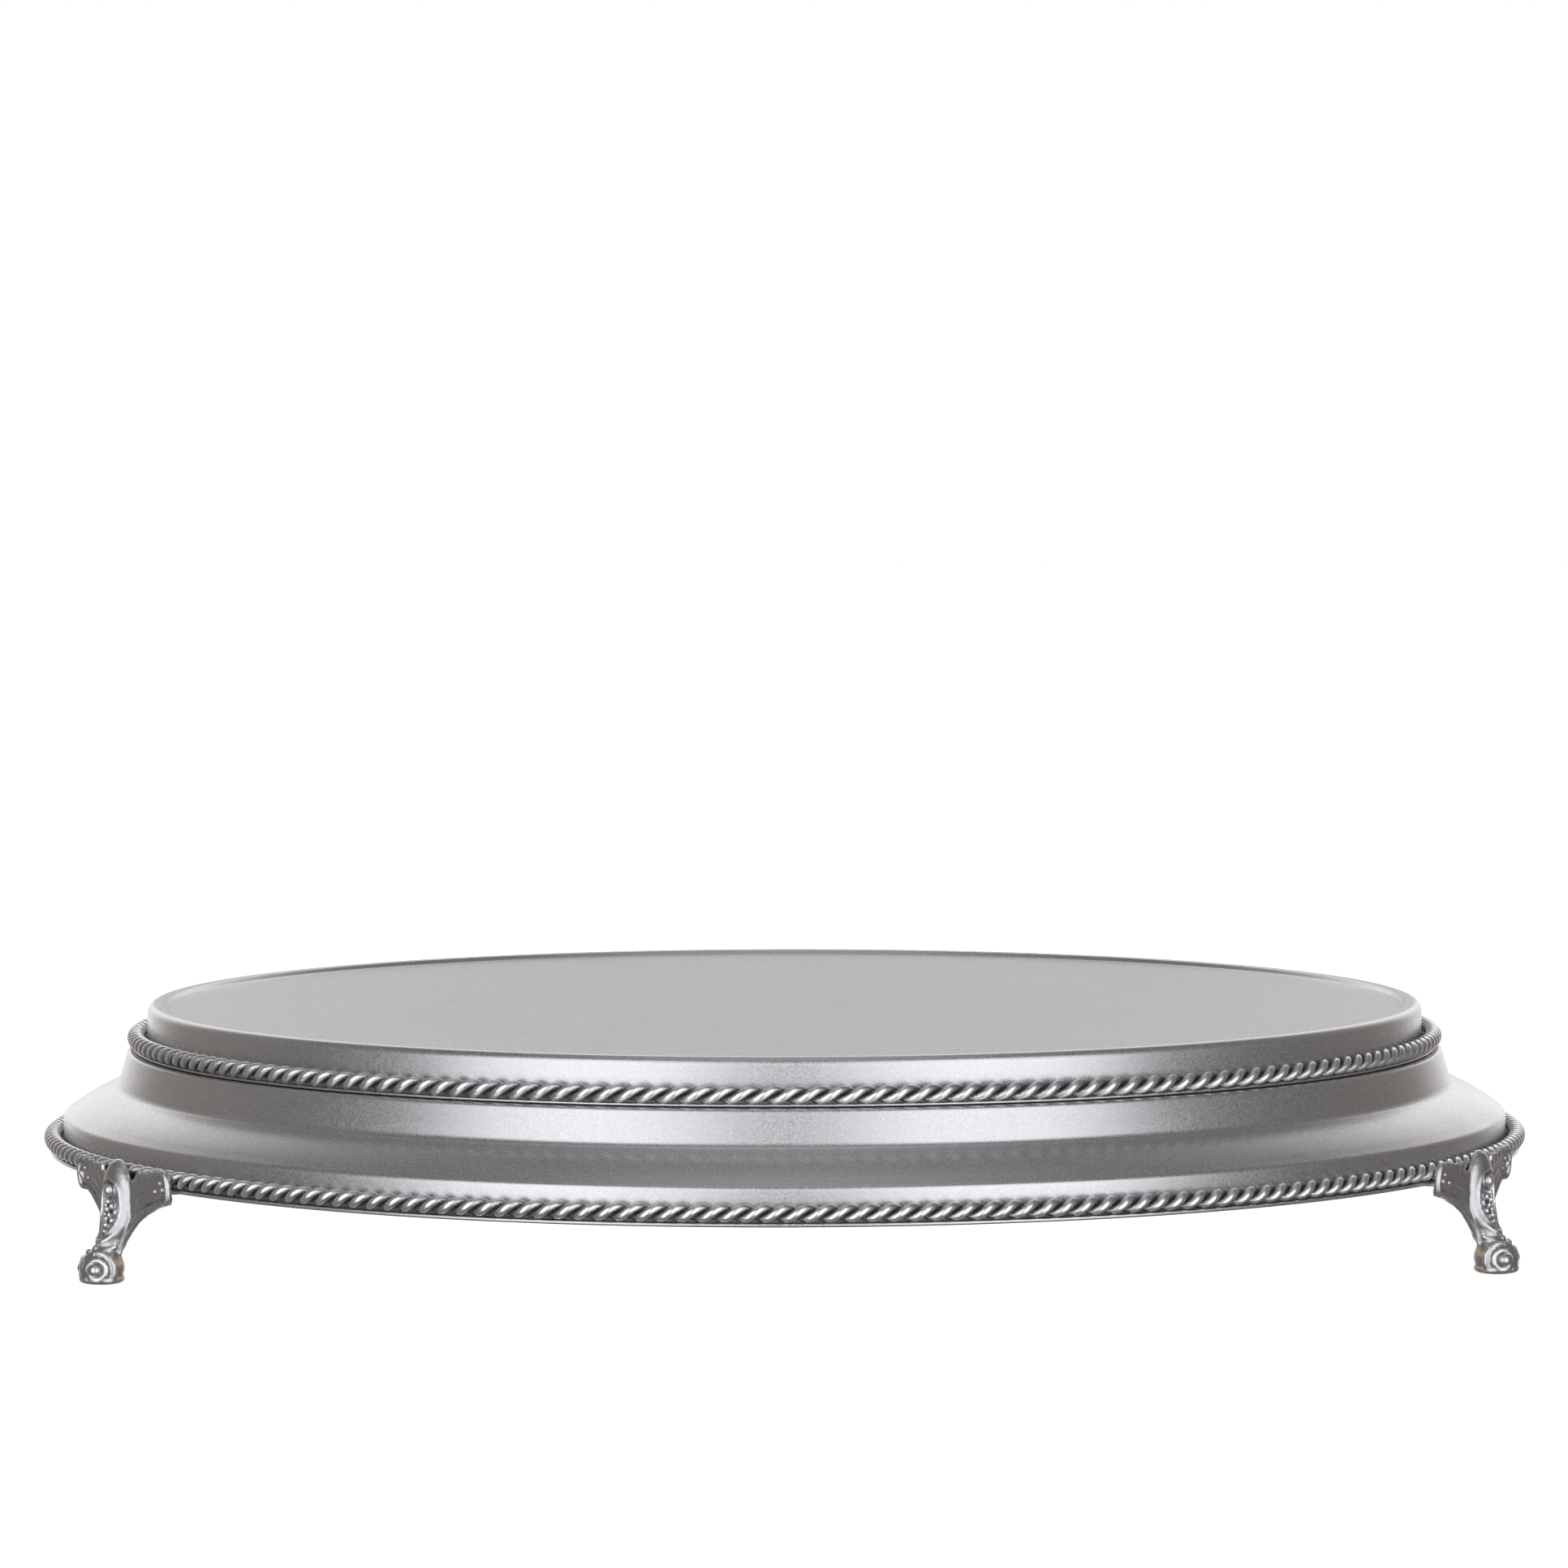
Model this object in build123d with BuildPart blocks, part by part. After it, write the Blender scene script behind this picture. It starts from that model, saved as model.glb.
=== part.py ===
from build123d import *
import os

# Footed cake turntable: a spun-metal base on three cast claw feet carries a shallow pan that
# turns on a ring bearing.  A twisted-wire rope trims the foot of the base and of the pan.
# The origin is on the turning axis at table level, +Z is up, and sizes are in millimetres.
# Azimuths are in degrees, counted from the -Y direction towards +X.

# Feet and table
foot_azimuths = (-45.0, 75.0, 195.0)
wing_inner_radius = 244.2
wing_thickness = 3.0
wing_half_span = 31.0
wing_end_low = 26.6
wing_top = 37.2
lug_thickness = 2.6
lug_width = 27.0
lug_inner_radius = 221.0
lug_outer_radius = 246.5
foot_screw_circle = 229.0
foot_screw_offset = 8.0

# Base shell, one spun sheet
base_sheet = 1.2
flange_underside = 30.0
flange_radius = 242.3
flange_bend = 0.8
skirt_radius = 237.5
skirt_top = 41.1
skirt_bend = 2.0
shoulder_middle = (229.0, 46.9)
shoulder_crown = 60.0
neck_foot = (219.7, 51.0)
neck_foot_bend = 3.0
neck_top_radius = 216.4
neck_top_bend = 1.5
deck_top = 62.2

# Rope trims, drawn as plain rings of the rope's outside diameter
rope_radius = 2.8
base_rope_circle = 241.15
pan_rope_circle = 213.9

# Pan
pan_sheet = 0.8
pan_radius = 210.0
pan_floor = 75.5
pan_crest = 77.0
pan_flange_radius = 214.6
pan_corner_bend = 2.7
rim_foot_radius = 203.0
rim_crest_radius = 204.6
rim_foot_bend = 0.9
rim_crest_bend = 1.2
pan_gap = 0.3

# Boards and rings that stiffen the sheets
deck_board_radius = 211.0
deck_board_thickness = 9.0
foot_ring_inner_radius = 215.0
foot_ring_thickness = 2.0
stiffener_radius = 200.0
stiffener_thickness = 3.0

# Ring bearing
ball_radius = 2.38
ball_circle = 145.0
ball_count = 36
groove_clearance = 0.2
window_clearance = 0.2
race_gap = 1.6
inner_race_bore = 126.0
outer_race_radius = 164.0
race_side_gap = 0.8
cage_half_wall = 0.6
cage_half_height = 3.6
inner_screw_circle = 134.5
outer_screw_circle = 156.5
race_screw_count = 6

# M4 fasteners
thread_radius = 2.0
clearance_radius = 2.2
head_radius = 3.75
head_height = 2.6
head_round = 0.8
cone_height = 1.75
socket_flats = 2.5
socket_depth = 1.6
flat_socket_depth = 1.2
washer_radius = 4.5
washer_thickness = 0.8
nut_flats = 7.0
nut_height = 3.2
foot_screw_length = 9.1
inner_screw_length = 16.0
outer_screw_length = 8.0
counterbore_radius = 4.3
counterbore_depth = 3.2
tapped_depth = 6.8

# Levels worked out from the sizes above
flange_top = flange_underside + base_sheet
deck_underside = deck_top - base_sheet
deck_board_underside = deck_underside - deck_board_thickness
pan_underside = deck_top + pan_gap
pan_flange_top = pan_underside + pan_sheet
base_rope_height = flange_top + rope_radius
pan_rope_height = pan_flange_top + rope_radius
stiffener_top = pan_floor - pan_sheet
stiffener_underside = stiffener_top - stiffener_thickness
ball_height = (deck_top + stiffener_underside) / 2
race_height = stiffener_underside - race_side_gap - deck_top
lug_underside = flange_underside - lug_thickness
foot_ring_radius = skirt_radius - base_sheet
foot_ring_top = flange_underside + foot_ring_thickness

# Every foot's leg and paw: height, radius from the axis, half width and half depth of the section
leg_sections = (
    (0.0, 250.4, 5.4, 6.0),
    (3.5, 250.6, 7.5, 7.9),
    (8.5, 250.0, 6.9, 7.0),
    (13.0, 248.6, 4.5, 4.3),
    (20.0, 247.5, 4.7, 3.3),
    (30.0, 247.0, 5.2, 2.75),
    (36.0, 246.7, 4.9, 2.45),
    (39.5, 246.1, 3.4, 1.85),
)


def finish(name, part):
    """Label a piece and write its STEP file."""
    part.label = name
    export_step(part, f"parts/{name}.step")


def spun_sheet(outline, bends, sheet):
    """Turn an outer outline, from the axis outwards, into a spun sheet of even thickness."""
    with BuildPart() as shell:
        with BuildSketch(Plane.XZ):
            with BuildLine():
                FilletPolyline(*outline, radius=bends)
                offset(amount=sheet, side=Side.RIGHT)
            make_face()
        revolve(axis=Axis.Z)
    return shell


def foot_screw_points():
    """Places of the two screws in each foot, seen from above."""
    points = []
    for azimuth in foot_azimuths:
        for side in (-foot_screw_offset, foot_screw_offset):
            points.append(Vector(side, -foot_screw_circle).rotate(Axis.Z, azimuth))
    return points


def ring_points(radius, count):
    """Places of fasteners evenly spaced on a circle, seen from above."""
    return [Vector(radius, 0).rotate(Axis.Z, 360 / count * index) for index in range(count)]


def screws(points, seat, length):
    """Socket-head screws with rounded heads, pushed up from below against the seat."""
    with BuildPart() as group:
        with BuildSketch(Plane.XY.offset(seat - head_height)):
            with Locations(*points):
                Circle(head_radius)
        extrude(amount=head_height)
        fillet(group.edges().group_by(Axis.Z)[0], radius=head_round)
        with BuildSketch(Plane.XY.offset(seat)):
            with Locations(*points):
                Circle(thread_radius)
        extrude(amount=length)
        with BuildSketch(Plane.XY.offset(seat - head_height)):
            with Locations(*points):
                RegularPolygon(socket_flats / 2, 6, major_radius=False)
        extrude(amount=socket_depth, mode=Mode.SUBTRACT)
    return group


def head_cones(points, underside, mode=Mode.ADD):
    """Conical heads of countersunk screws, or the seats for them."""
    with Locations(*[Vector(point.X, point.Y, underside + cone_height / 2) for point in points]):
        Cone(head_radius, thread_radius, cone_height, mode=mode)


def countersunk_screws(points, underside, length):
    """Countersunk socket screws, pushed up from below, with their heads flush."""
    with BuildPart() as group:
        head_cones(points, underside)
        with BuildSketch(Plane.XY.offset(underside)):
            with Locations(*points):
                Circle(thread_radius)
        extrude(amount=length)
        with BuildSketch(Plane.XY.offset(underside)):
            with Locations(*points):
                RegularPolygon(socket_flats / 2, 6, major_radius=False)
        extrude(amount=flat_socket_depth, mode=Mode.SUBTRACT)
    return group


def washers(points, underside):
    """Flat washers."""
    with BuildPart() as group:
        with BuildSketch(Plane.XY.offset(underside)):
            with Locations(*points):
                Circle(washer_radius)
                Circle(clearance_radius, mode=Mode.SUBTRACT)
        extrude(amount=washer_thickness)
    return group


def nuts(points, underside):
    """Hexagon nuts."""
    with BuildPart() as group:
        with BuildSketch(Plane.XY.offset(underside)):
            with Locations(*points):
                RegularPolygon(nut_flats / 2, 6, major_radius=False)
                Circle(thread_radius, mode=Mode.SUBTRACT)
        extrude(amount=nut_height)
    return group


def rope_ring(circle, height):
    """A rope trim as a plain round ring."""
    with BuildPart() as rope:
        with BuildSketch(Plane.XZ):
            with Locations((circle, height)):
                Circle(rope_radius)
        revolve(axis=Axis.Z)
    return rope


os.makedirs("parts", exist_ok=True)
foot_points = foot_screw_points()
inner_points = ring_points(inner_screw_circle, race_screw_count)
outer_points = ring_points(outer_screw_circle, race_screw_count)

# Base shell: deck, neck, sloping shoulder, skirt and bottom flange
base_outline = (
    (0, deck_top),
    (neck_top_radius, deck_top),
    neck_foot,
    shoulder_middle,
    (skirt_radius, skirt_top),
    (skirt_radius, flange_top),
    (flange_radius, flange_top),
)
base_bends = (neck_top_bend, neck_foot_bend, shoulder_crown, skirt_bend, flange_bend)
base_shell = spun_sheet(base_outline, base_bends, base_sheet)
with base_shell:
    with Locations(*[Vector(point.X, point.Y, deck_top) for point in inner_points]):
        Hole(clearance_radius, depth=base_sheet * 2)
finish("base_shell", base_shell.part)

# Rope trim on the bottom flange
finish("base_rope", rope_ring(base_rope_circle, base_rope_height).part)

# Plywood board that backs the deck
with BuildPart() as deck_board:
    with BuildSketch(Plane.XY.offset(deck_board_underside)):
        Circle(deck_board_radius)
        with Locations(*inner_points):
            Circle(clearance_radius, mode=Mode.SUBTRACT)
    extrude(amount=deck_board_thickness)
finish("deck_board", deck_board.part)

# Flat ring inside the skirt, which the feet are screwed to
with BuildPart() as foot_ring:
    with BuildSketch(Plane.XY.offset(flange_underside)):
        Circle(foot_ring_radius)
        Circle(foot_ring_inner_radius, mode=Mode.SUBTRACT)
        with Locations(*foot_points):
            Circle(clearance_radius, mode=Mode.SUBTRACT)
    extrude(amount=foot_ring_thickness)
finish("foot_ring", foot_ring.part)

# One claw foot at azimuth 0: a curved wing panel, a leg that ends in a paw, and a lug behind
# with two countersunk holes
lug_holes = [Vector(side, -foot_screw_circle) for side in (-foot_screw_offset, foot_screw_offset)]
with BuildPart() as foot_pattern:
    with BuildSketch(Plane.XY):
        Circle(wing_inner_radius + wing_thickness)
        Circle(wing_inner_radius, mode=Mode.SUBTRACT)
    extrude(amount=wing_top)
    with BuildSketch(Plane.XZ):
        with BuildLine():
            lower = Spline(
                (0, 9.6),
                (4.2, 13.4),
                (7.8, 17.6),
                (13.4, 21.4),
                (21, 24.7),
                (wing_half_span - 2, wing_end_low),
            )
            tip = Line(lower @ 1, (wing_half_span, wing_end_low + 3))
            end = Line(tip @ 1, (wing_half_span, wing_top - 2))
            corner = Line(end @ 1, (wing_half_span - 3, wing_top))
            top = Line(corner @ 1, (0, wing_top))
            Line(top @ 1, lower @ 0)
        make_face()
        mirror(about=Plane.YZ)
    extrude(amount=wing_inner_radius * 2, mode=Mode.INTERSECT)
    for height, centre, half_width, half_depth in leg_sections:
        with BuildSketch(Plane.XY.offset(height)):
            with Locations((0, -centre)):
                Ellipse(half_width, half_depth)
    loft()
    with BuildSketch(Plane.XY.offset(lug_underside)):
        with Locations((0, -(lug_inner_radius + lug_outer_radius) / 2)):
            Rectangle(lug_width, lug_outer_radius - lug_inner_radius)
        with Locations(*lug_holes):
            Circle(clearance_radius, mode=Mode.SUBTRACT)
    extrude(amount=lug_thickness)
    head_cones(lug_holes, lug_underside, Mode.SUBTRACT)

# The three feet, placed round the axis
for number, azimuth in enumerate(foot_azimuths, start=1):
    with BuildPart() as foot:
        add(foot_pattern.part, rotation=(0, 0, azimuth))
    finish(f"foot_{number}", foot.part)

# Fasteners of the feet: screw up through the lug and the ring, washer and nut inside the skirt
finish("foot_screws", countersunk_screws(foot_points, lug_underside, foot_screw_length).part)
finish("foot_washers", washers(foot_points, foot_ring_top).part)
finish("foot_nuts", nuts(foot_points, foot_ring_top + washer_thickness).part)

# Inner race, fixed to the deck, with tapped holes from below and a ball groove round its outside
with BuildPart() as inner_race:
    with BuildSketch(Plane.XY.offset(deck_top)):
        Circle(ball_circle - race_gap)
        Circle(inner_race_bore, mode=Mode.SUBTRACT)
    extrude(amount=race_height)
    with BuildSketch(Plane.XZ):
        with Locations((ball_circle, ball_height)):
            Circle(ball_radius + groove_clearance)
    revolve(axis=Axis.Z, mode=Mode.SUBTRACT)
    with BuildSketch(Plane.XY.offset(deck_top)):
        with Locations(*inner_points):
            Circle(thread_radius)
    extrude(amount=tapped_depth, mode=Mode.SUBTRACT)
finish("inner_race", inner_race.part)

# Screws and washers that hold the inner race, put in from under the deck board
inner_seat = deck_board_underside - washer_thickness
finish("inner_race_screws", screws(inner_points, inner_seat, inner_screw_length).part)
finish("inner_race_washers", washers(inner_points, inner_seat).part)

# Ball cage, a thin band with a round window for each ball
with BuildPart() as ball_cage:
    with BuildSketch(Plane.XY.offset(ball_height - cage_half_height)):
        Circle(ball_circle + cage_half_wall)
        Circle(ball_circle - cage_half_wall, mode=Mode.SUBTRACT)
    extrude(amount=cage_half_height * 2)
    with Locations((0, 0, ball_height)):
        with PolarLocations(ball_circle, ball_count):
            Cylinder(
                ball_radius + window_clearance,
                cage_half_wall * 4,
                rotation=(0, 90, 0),
                mode=Mode.SUBTRACT,
            )
finish("ball_cage", ball_cage.part)

# Balls, one in each window
with BuildPart() as bearing_balls:
    with Locations((0, 0, ball_height)):
        with PolarLocations(ball_circle, ball_count):
            Sphere(ball_radius)
finish("bearing_balls", bearing_balls.part)

# Outer race, fixed under the pan, with screw heads sunk in its underside
with BuildPart() as outer_race:
    with BuildSketch(Plane.XY.offset(deck_top + race_side_gap)):
        Circle(outer_race_radius)
        Circle(ball_circle + race_gap, mode=Mode.SUBTRACT)
        with Locations(*outer_points):
            Circle(clearance_radius, mode=Mode.SUBTRACT)
    extrude(amount=race_height)
    with BuildSketch(Plane.XZ):
        with Locations((ball_circle, ball_height)):
            Circle(ball_radius + groove_clearance)
    revolve(axis=Axis.Z, mode=Mode.SUBTRACT)
    with BuildSketch(Plane.XY.offset(deck_top + race_side_gap)):
        with Locations(*outer_points):
            Circle(counterbore_radius)
    extrude(amount=counterbore_depth, mode=Mode.SUBTRACT)
finish("outer_race", outer_race.part)
outer_seat = deck_top + race_side_gap + counterbore_depth
finish("outer_race_screws", screws(outer_points, outer_seat, outer_screw_length).part)

# Aluminium disc that stiffens the pan's floor and takes the outer race's screws
with BuildPart() as pan_stiffener:
    with BuildSketch(Plane.XY.offset(stiffener_underside)):
        Circle(stiffener_radius)
        with Locations(*outer_points):
            Circle(thread_radius, mode=Mode.SUBTRACT)
    extrude(amount=stiffener_thickness)
finish("pan_stiffener", pan_stiffener.part)

# Turning pan: floor, low raised rim, skirt and the small flange that its rope lies on
pan_outline = (
    (0, pan_floor),
    (rim_foot_radius, pan_floor),
    (rim_crest_radius, pan_crest),
    (pan_radius, pan_crest),
    (pan_radius, pan_flange_top),
    (pan_flange_radius, pan_flange_top),
)
pan_bends = (rim_foot_bend, rim_crest_bend, pan_corner_bend, flange_bend)
finish("top_pan", spun_sheet(pan_outline, pan_bends, pan_sheet).part)

# Rope trim on the pan's flange
finish("pan_rope", rope_ring(pan_rope_circle, pan_rope_height).part)
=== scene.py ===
import logging
import math
from dataclasses import dataclass
from enum import Enum

import bpy
import numpy as np
from mathutils import Matrix, Vector


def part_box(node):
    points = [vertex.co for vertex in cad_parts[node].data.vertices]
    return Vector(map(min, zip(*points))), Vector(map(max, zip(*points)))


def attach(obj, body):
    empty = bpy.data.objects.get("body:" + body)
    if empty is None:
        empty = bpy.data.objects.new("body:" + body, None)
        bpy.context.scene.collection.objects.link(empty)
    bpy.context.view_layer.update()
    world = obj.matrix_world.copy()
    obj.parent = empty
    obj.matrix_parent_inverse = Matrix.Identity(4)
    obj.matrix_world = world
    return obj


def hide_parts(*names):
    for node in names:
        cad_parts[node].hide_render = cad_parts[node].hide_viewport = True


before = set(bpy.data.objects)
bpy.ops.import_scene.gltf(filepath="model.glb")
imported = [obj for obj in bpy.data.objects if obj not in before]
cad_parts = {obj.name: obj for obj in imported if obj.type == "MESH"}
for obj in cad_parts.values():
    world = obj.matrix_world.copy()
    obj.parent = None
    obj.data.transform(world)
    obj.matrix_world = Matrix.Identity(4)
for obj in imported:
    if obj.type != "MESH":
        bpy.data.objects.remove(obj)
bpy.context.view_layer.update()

# Looks of the footed cake turntable: spun sheet tiers, twisted-wire ropes, cast claw feet,
# the ring bearing and its fasteners.  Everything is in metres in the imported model's frame:
# the origin is on the turning axis at table level, +Z is up.  Azimuths are counted from -Y
# towards +X.  Sizes written in millimetres carry the factor MM.

MM = 0.001
log = logging.getLogger("cake_turntable")


class Body(Enum):
    """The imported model's bodies that pieces ride on."""

    BASE = "base"
    CAGE = "cage"
    PLATTER = "platter"


class Slot(Enum):
    """The record's material slots, passed along with new pieces."""

    SILVER = "silver_paint"
    ANTIQUED = "antiqued_silver"
    ZINC = "zinc_steel"
    BALL = "ball_steel"


# ---------------------------------------------------------------- wiring of node trees


class Wiring:
    """Adds nodes to a node tree and joins their sockets."""

    def __init__(self, tree: bpy.types.NodeTree) -> None:
        """Keep the shader or geometry tree to fill."""
        self.tree = tree

    def add(self, kind: str, inputs: dict | None = None, **settings: object) -> bpy.types.Node:
        """Add one node.

        Args:
            kind: The node's type name.
            inputs: Socket name or number to a value or to the socket that feeds it.
            settings: Properties of the node.

        Returns:
            The new node.
        """
        node = self.tree.nodes.new(kind)
        for name, value in settings.items():
            setattr(node, name, value)
        for socket, value in (inputs or {}).items():
            self.feed(node, socket, value)
        return node

    def feed(self, node: bpy.types.Node, socket: str | int, value: object) -> None:
        """Set an input of a node, or join it to the socket that feeds it.

        Args:
            node: The node.
            socket: The input's name or number.
            value: A value or an output socket.
        """
        if isinstance(value, bpy.types.NodeSocket):
            self.tree.links.new(value, node.inputs[socket])
        else:
            node.inputs[socket].default_value = value

    def math(self, operation: str, *values: object) -> bpy.types.NodeSocket:
        """Add a Math node over the values and return its result's socket."""
        node = self.add("ShaderNodeMath", dict(enumerate(values)), operation=operation)
        return node.outputs[0]

    def vector(self, operation: str, *values: object) -> bpy.types.NodeSocket:
        """Add a Vector Math node; DOT_PRODUCT and LENGTH give a value, the rest a vector."""
        node = self.add("ShaderNodeVectorMath", dict(enumerate(values)), operation=operation)
        return node.outputs["Value" if operation in ("DOT_PRODUCT", "LENGTH") else "Vector"]

    def ramp(self, value: object, low: float, high: float, to_low: float = 0.0,
             to_high: float = 1.0, smooth: bool = True) -> bpy.types.NodeSocket:
        """Map a value from one range to another, held at its ends.

        Args:
            value: The value or socket to map.
            low: The lower end of the range it comes from.
            high: The upper end of that range.
            to_low: What low becomes.
            to_high: What high becomes.
            smooth: Whether the ends are eased.

        Returns:
            The mapped value's socket.
        """
        inputs = {"Value": value, "From Min": low, "From Max": high,
                  "To Min": to_low, "To Max": to_high}
        kind = "SMOOTHSTEP" if smooth else "LINEAR"
        return self.add("ShaderNodeMapRange", inputs, interpolation_type=kind).outputs["Result"]

    def noise(self, vector: object, scale: object, detail: float = 3.0,
              roughness: float = 0.5) -> bpy.types.NodeSocket:
        """Add a noise texture and return the socket of its value, from 0 to 1."""
        inputs = {"Vector": vector, "Scale": scale, "Detail": detail, "Roughness": roughness}
        return self.add("ShaderNodeTexNoise", inputs).outputs[0]

    def warp(self, vector: object, scale: float, reach: float) -> bpy.types.NodeSocket:
        """Bend coordinates by a soft noise.

        Args:
            vector: The socket of the coordinates.
            scale: The noise's scale.
            reach: How far a point is moved by a noise of 1, in metres.

        Returns:
            The bent coordinates' socket.
        """
        noise = self.add("ShaderNodeTexNoise", {"Vector": vector, "Scale": scale})
        shift = self.vector("MULTIPLY", noise.outputs["Color"], (reach,) * 3)
        return self.vector("ADD", shift, vector)

    def mix(self, factor: object, first: object, second: object) -> bpy.types.NodeSocket:
        """Mix two colours.

        Args:
            factor: 0 gives the first and 1 the second.
            first: A colour or its socket.
            second: A colour or its socket.

        Returns:
            The mixed colour's socket.
        """
        node = self.add("ShaderNodeMix", {"Factor": factor}, data_type="RGBA")
        self.feed(node, 6, first)
        self.feed(node, 7, second)
        return node.outputs[2]


def grey(value: float, warm: float = 0.0) -> tuple[float, float, float, float]:
    """A grey of this lightness, redder than blue by warm, with an alpha of 1."""
    return (value * (1.0 + warm), value, value * (1.0 - warm), 1.0)


# ---------------------------------------------------------------- effects shared by materials


class Effect:
    """A shader node group that is built once and placed in several materials."""

    name: str
    inputs: tuple[tuple[str, str, float], ...]
    outputs: tuple[tuple[str, str], ...]

    @classmethod
    def group(cls) -> bpy.types.NodeTree:
        """The group, built at its first use.

        Returns:
            The shader node group.
        """
        found = bpy.data.node_groups.get(cls.name)
        if found:
            return found
        tree = bpy.data.node_groups.new(cls.name, "ShaderNodeTree")
        for name, kind, default in cls.inputs:
            socket = tree.interface.new_socket(name, in_out="INPUT", socket_type=kind)
            if kind == "NodeSocketFloat":
                socket.default_value = default
        for name, kind in cls.outputs:
            tree.interface.new_socket(name, in_out="OUTPUT", socket_type=kind)
        wiring = Wiring(tree)
        source = wiring.add("NodeGroupInput")
        target = wiring.add("NodeGroupOutput")
        results = cls.build(wiring, {s.name: s for s in source.outputs if s.name})
        for name, socket in results.items():
            wiring.feed(target, name, socket)
        return tree

    @classmethod
    def build(cls, wiring: Wiring, given: dict) -> dict:
        """Fill the group, and give the socket that feeds each output."""
        raise NotImplementedError

    @classmethod
    def place(cls, wiring: Wiring, **values: object) -> dict:
        """Place the group in a material.

        Args:
            wiring: The material's wiring.
            values: Input name, with _ for a space, to its value or socket.

        Returns:
            Output name to its socket.
        """
        inputs = {name.replace("_", " "): value for name, value in values.items()}
        node = wiring.add("ShaderNodeGroup", None, node_tree=cls.group())
        for name, value in inputs.items():
            wiring.feed(node, name, value)
        return {s.name: s for s in node.outputs}


class FlakeEffect(Effect):
    """Metal flakes in paint: small cells, each with its own lightness and height, and painted
    glints on a few cells.
    """

    name = "Metal flake"
    inputs = (("Vector", "NodeSocketVector", 0.0), ("Cells", "NodeSocketFloat", 3000.0))
    outputs = (("Tone", "NodeSocketFloat"), ("Glint", "NodeSocketFloat"),
               ("Height", "NodeSocketFloat"))
    coarse_share = 0.22
    glint_range = (0.90, 1.0)

    @classmethod
    def build(cls, wiring: Wiring, given: dict) -> dict:
        """Fill the group with two sizes of cells.

        Args:
            wiring: The group's wiring.
            given: Input name to its socket.

        Returns:
            Output name to the socket that feeds it.
        """
        inputs = {"Vector": given["Vector"], "Scale": given["Cells"]}
        cells = wiring.add("ShaderNodeTexVoronoi", inputs)
        parts = wiring.add("ShaderNodeSeparateColor", {0: cells.outputs["Color"]})
        coarse_cells = wiring.math("MULTIPLY", given["Cells"], cls.coarse_share)
        coarse = wiring.noise(given["Vector"], coarse_cells, 2.0)
        tone = wiring.math("ADD", wiring.math("MULTIPLY", parts.outputs[0], 0.7),
                           wiring.math("MULTIPLY", coarse, 0.6))
        # Painted glint: a few random cells, used to lighten the base colour towards white.
        glint = wiring.ramp(parts.outputs[1], *cls.glint_range)
        height = wiring.math("MULTIPLY", parts.outputs[2], coarse)
        return {"Tone": tone, "Glint": glint, "Height": height}


class SpunEffect(Effect):
    """Faint rings that spinning leaves round the Z axis."""

    name = "Spun rings"
    inputs = (("Vector", "NodeSocketVector", 0.0), ("Rings", "NodeSocketFloat", 900.0),
              ("Wander", "NodeSocketFloat", 12.0))
    outputs = (("Tone", "NodeSocketFloat"), ("Height", "NodeSocketFloat"))
    tone_range = (0.3, 0.7)

    @classmethod
    def build(cls, wiring: Wiring, given: dict) -> dict:
        """Fill the group: noise over radius and height that hardly changes along a ring.

        Args:
            wiring: The group's wiring.
            given: Input name to its socket.

        Returns:
            Output name to the socket that feeds it.
        """
        flat = wiring.vector("MULTIPLY", given["Vector"], (1.0, 1.0, 0.0))
        radius = wiring.vector("LENGTH", flat)
        parts = wiring.add("ShaderNodeSeparateXYZ", {0: given["Vector"]})
        across = wiring.math("MULTIPLY", radius, given["Rings"])
        along = wiring.math("MULTIPLY", parts.outputs[2], given["Rings"])
        ring = wiring.add("ShaderNodeCombineXYZ", {0: across, 1: along, 2: 0.0}).outputs[0]
        drift = wiring.add("ShaderNodeVectorMath", {0: given["Vector"]}, operation="SCALE")
        wiring.feed(drift, "Scale", given["Wander"])
        place = wiring.vector("ADD", ring, drift.outputs[0])
        fine = wiring.noise(place, 1.0, 4.0, 0.6)
        return {"Tone": wiring.ramp(fine, *cls.tone_range), "Height": fine}


class HandlingEffect(Effect):
    """Broad, soft marks left by handling and wiping, and a few fine scratches."""

    name = "Handling marks"
    inputs = (("Vector", "NodeSocketVector", 0.0), ("Size", "NodeSocketFloat", 22.0))
    outputs = (("Smear", "NodeSocketFloat"), ("Scratch", "NodeSocketFloat"))
    smear_range = (0.3, 0.7)
    scratch_scale = (700.0, 45.0, 300.0)
    scratch_range = (0.66, 0.72)
    patch_range = (0.52, 0.66)
    warp_scale, warp_reach, patch_scale = 9.0, 0.05, 30.0

    @classmethod
    def build(cls, wiring: Wiring, given: dict) -> dict:
        """Fill the group with smears and thin scratches.

        Args:
            wiring: The group's wiring.
            given: Input name to its socket.

        Returns:
            Output name to the socket that feeds it.
        """
        smear = wiring.noise(given["Vector"], given["Size"], 4.0, 0.55)
        bent = wiring.warp(given["Vector"], cls.warp_scale, cls.warp_reach)
        stretched = wiring.vector("MULTIPLY", bent, cls.scratch_scale)
        streaks = wiring.noise(stretched, 1.0, 2.0, 0.5)
        thin = wiring.ramp(streaks, *cls.scratch_range)
        patches = wiring.noise(given["Vector"], cls.patch_scale, 2.0)
        there = wiring.ramp(patches, *cls.patch_range)
        return {"Smear": wiring.ramp(smear, *cls.smear_range),
                "Scratch": wiring.math("MULTIPLY", thin, there)}


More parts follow.
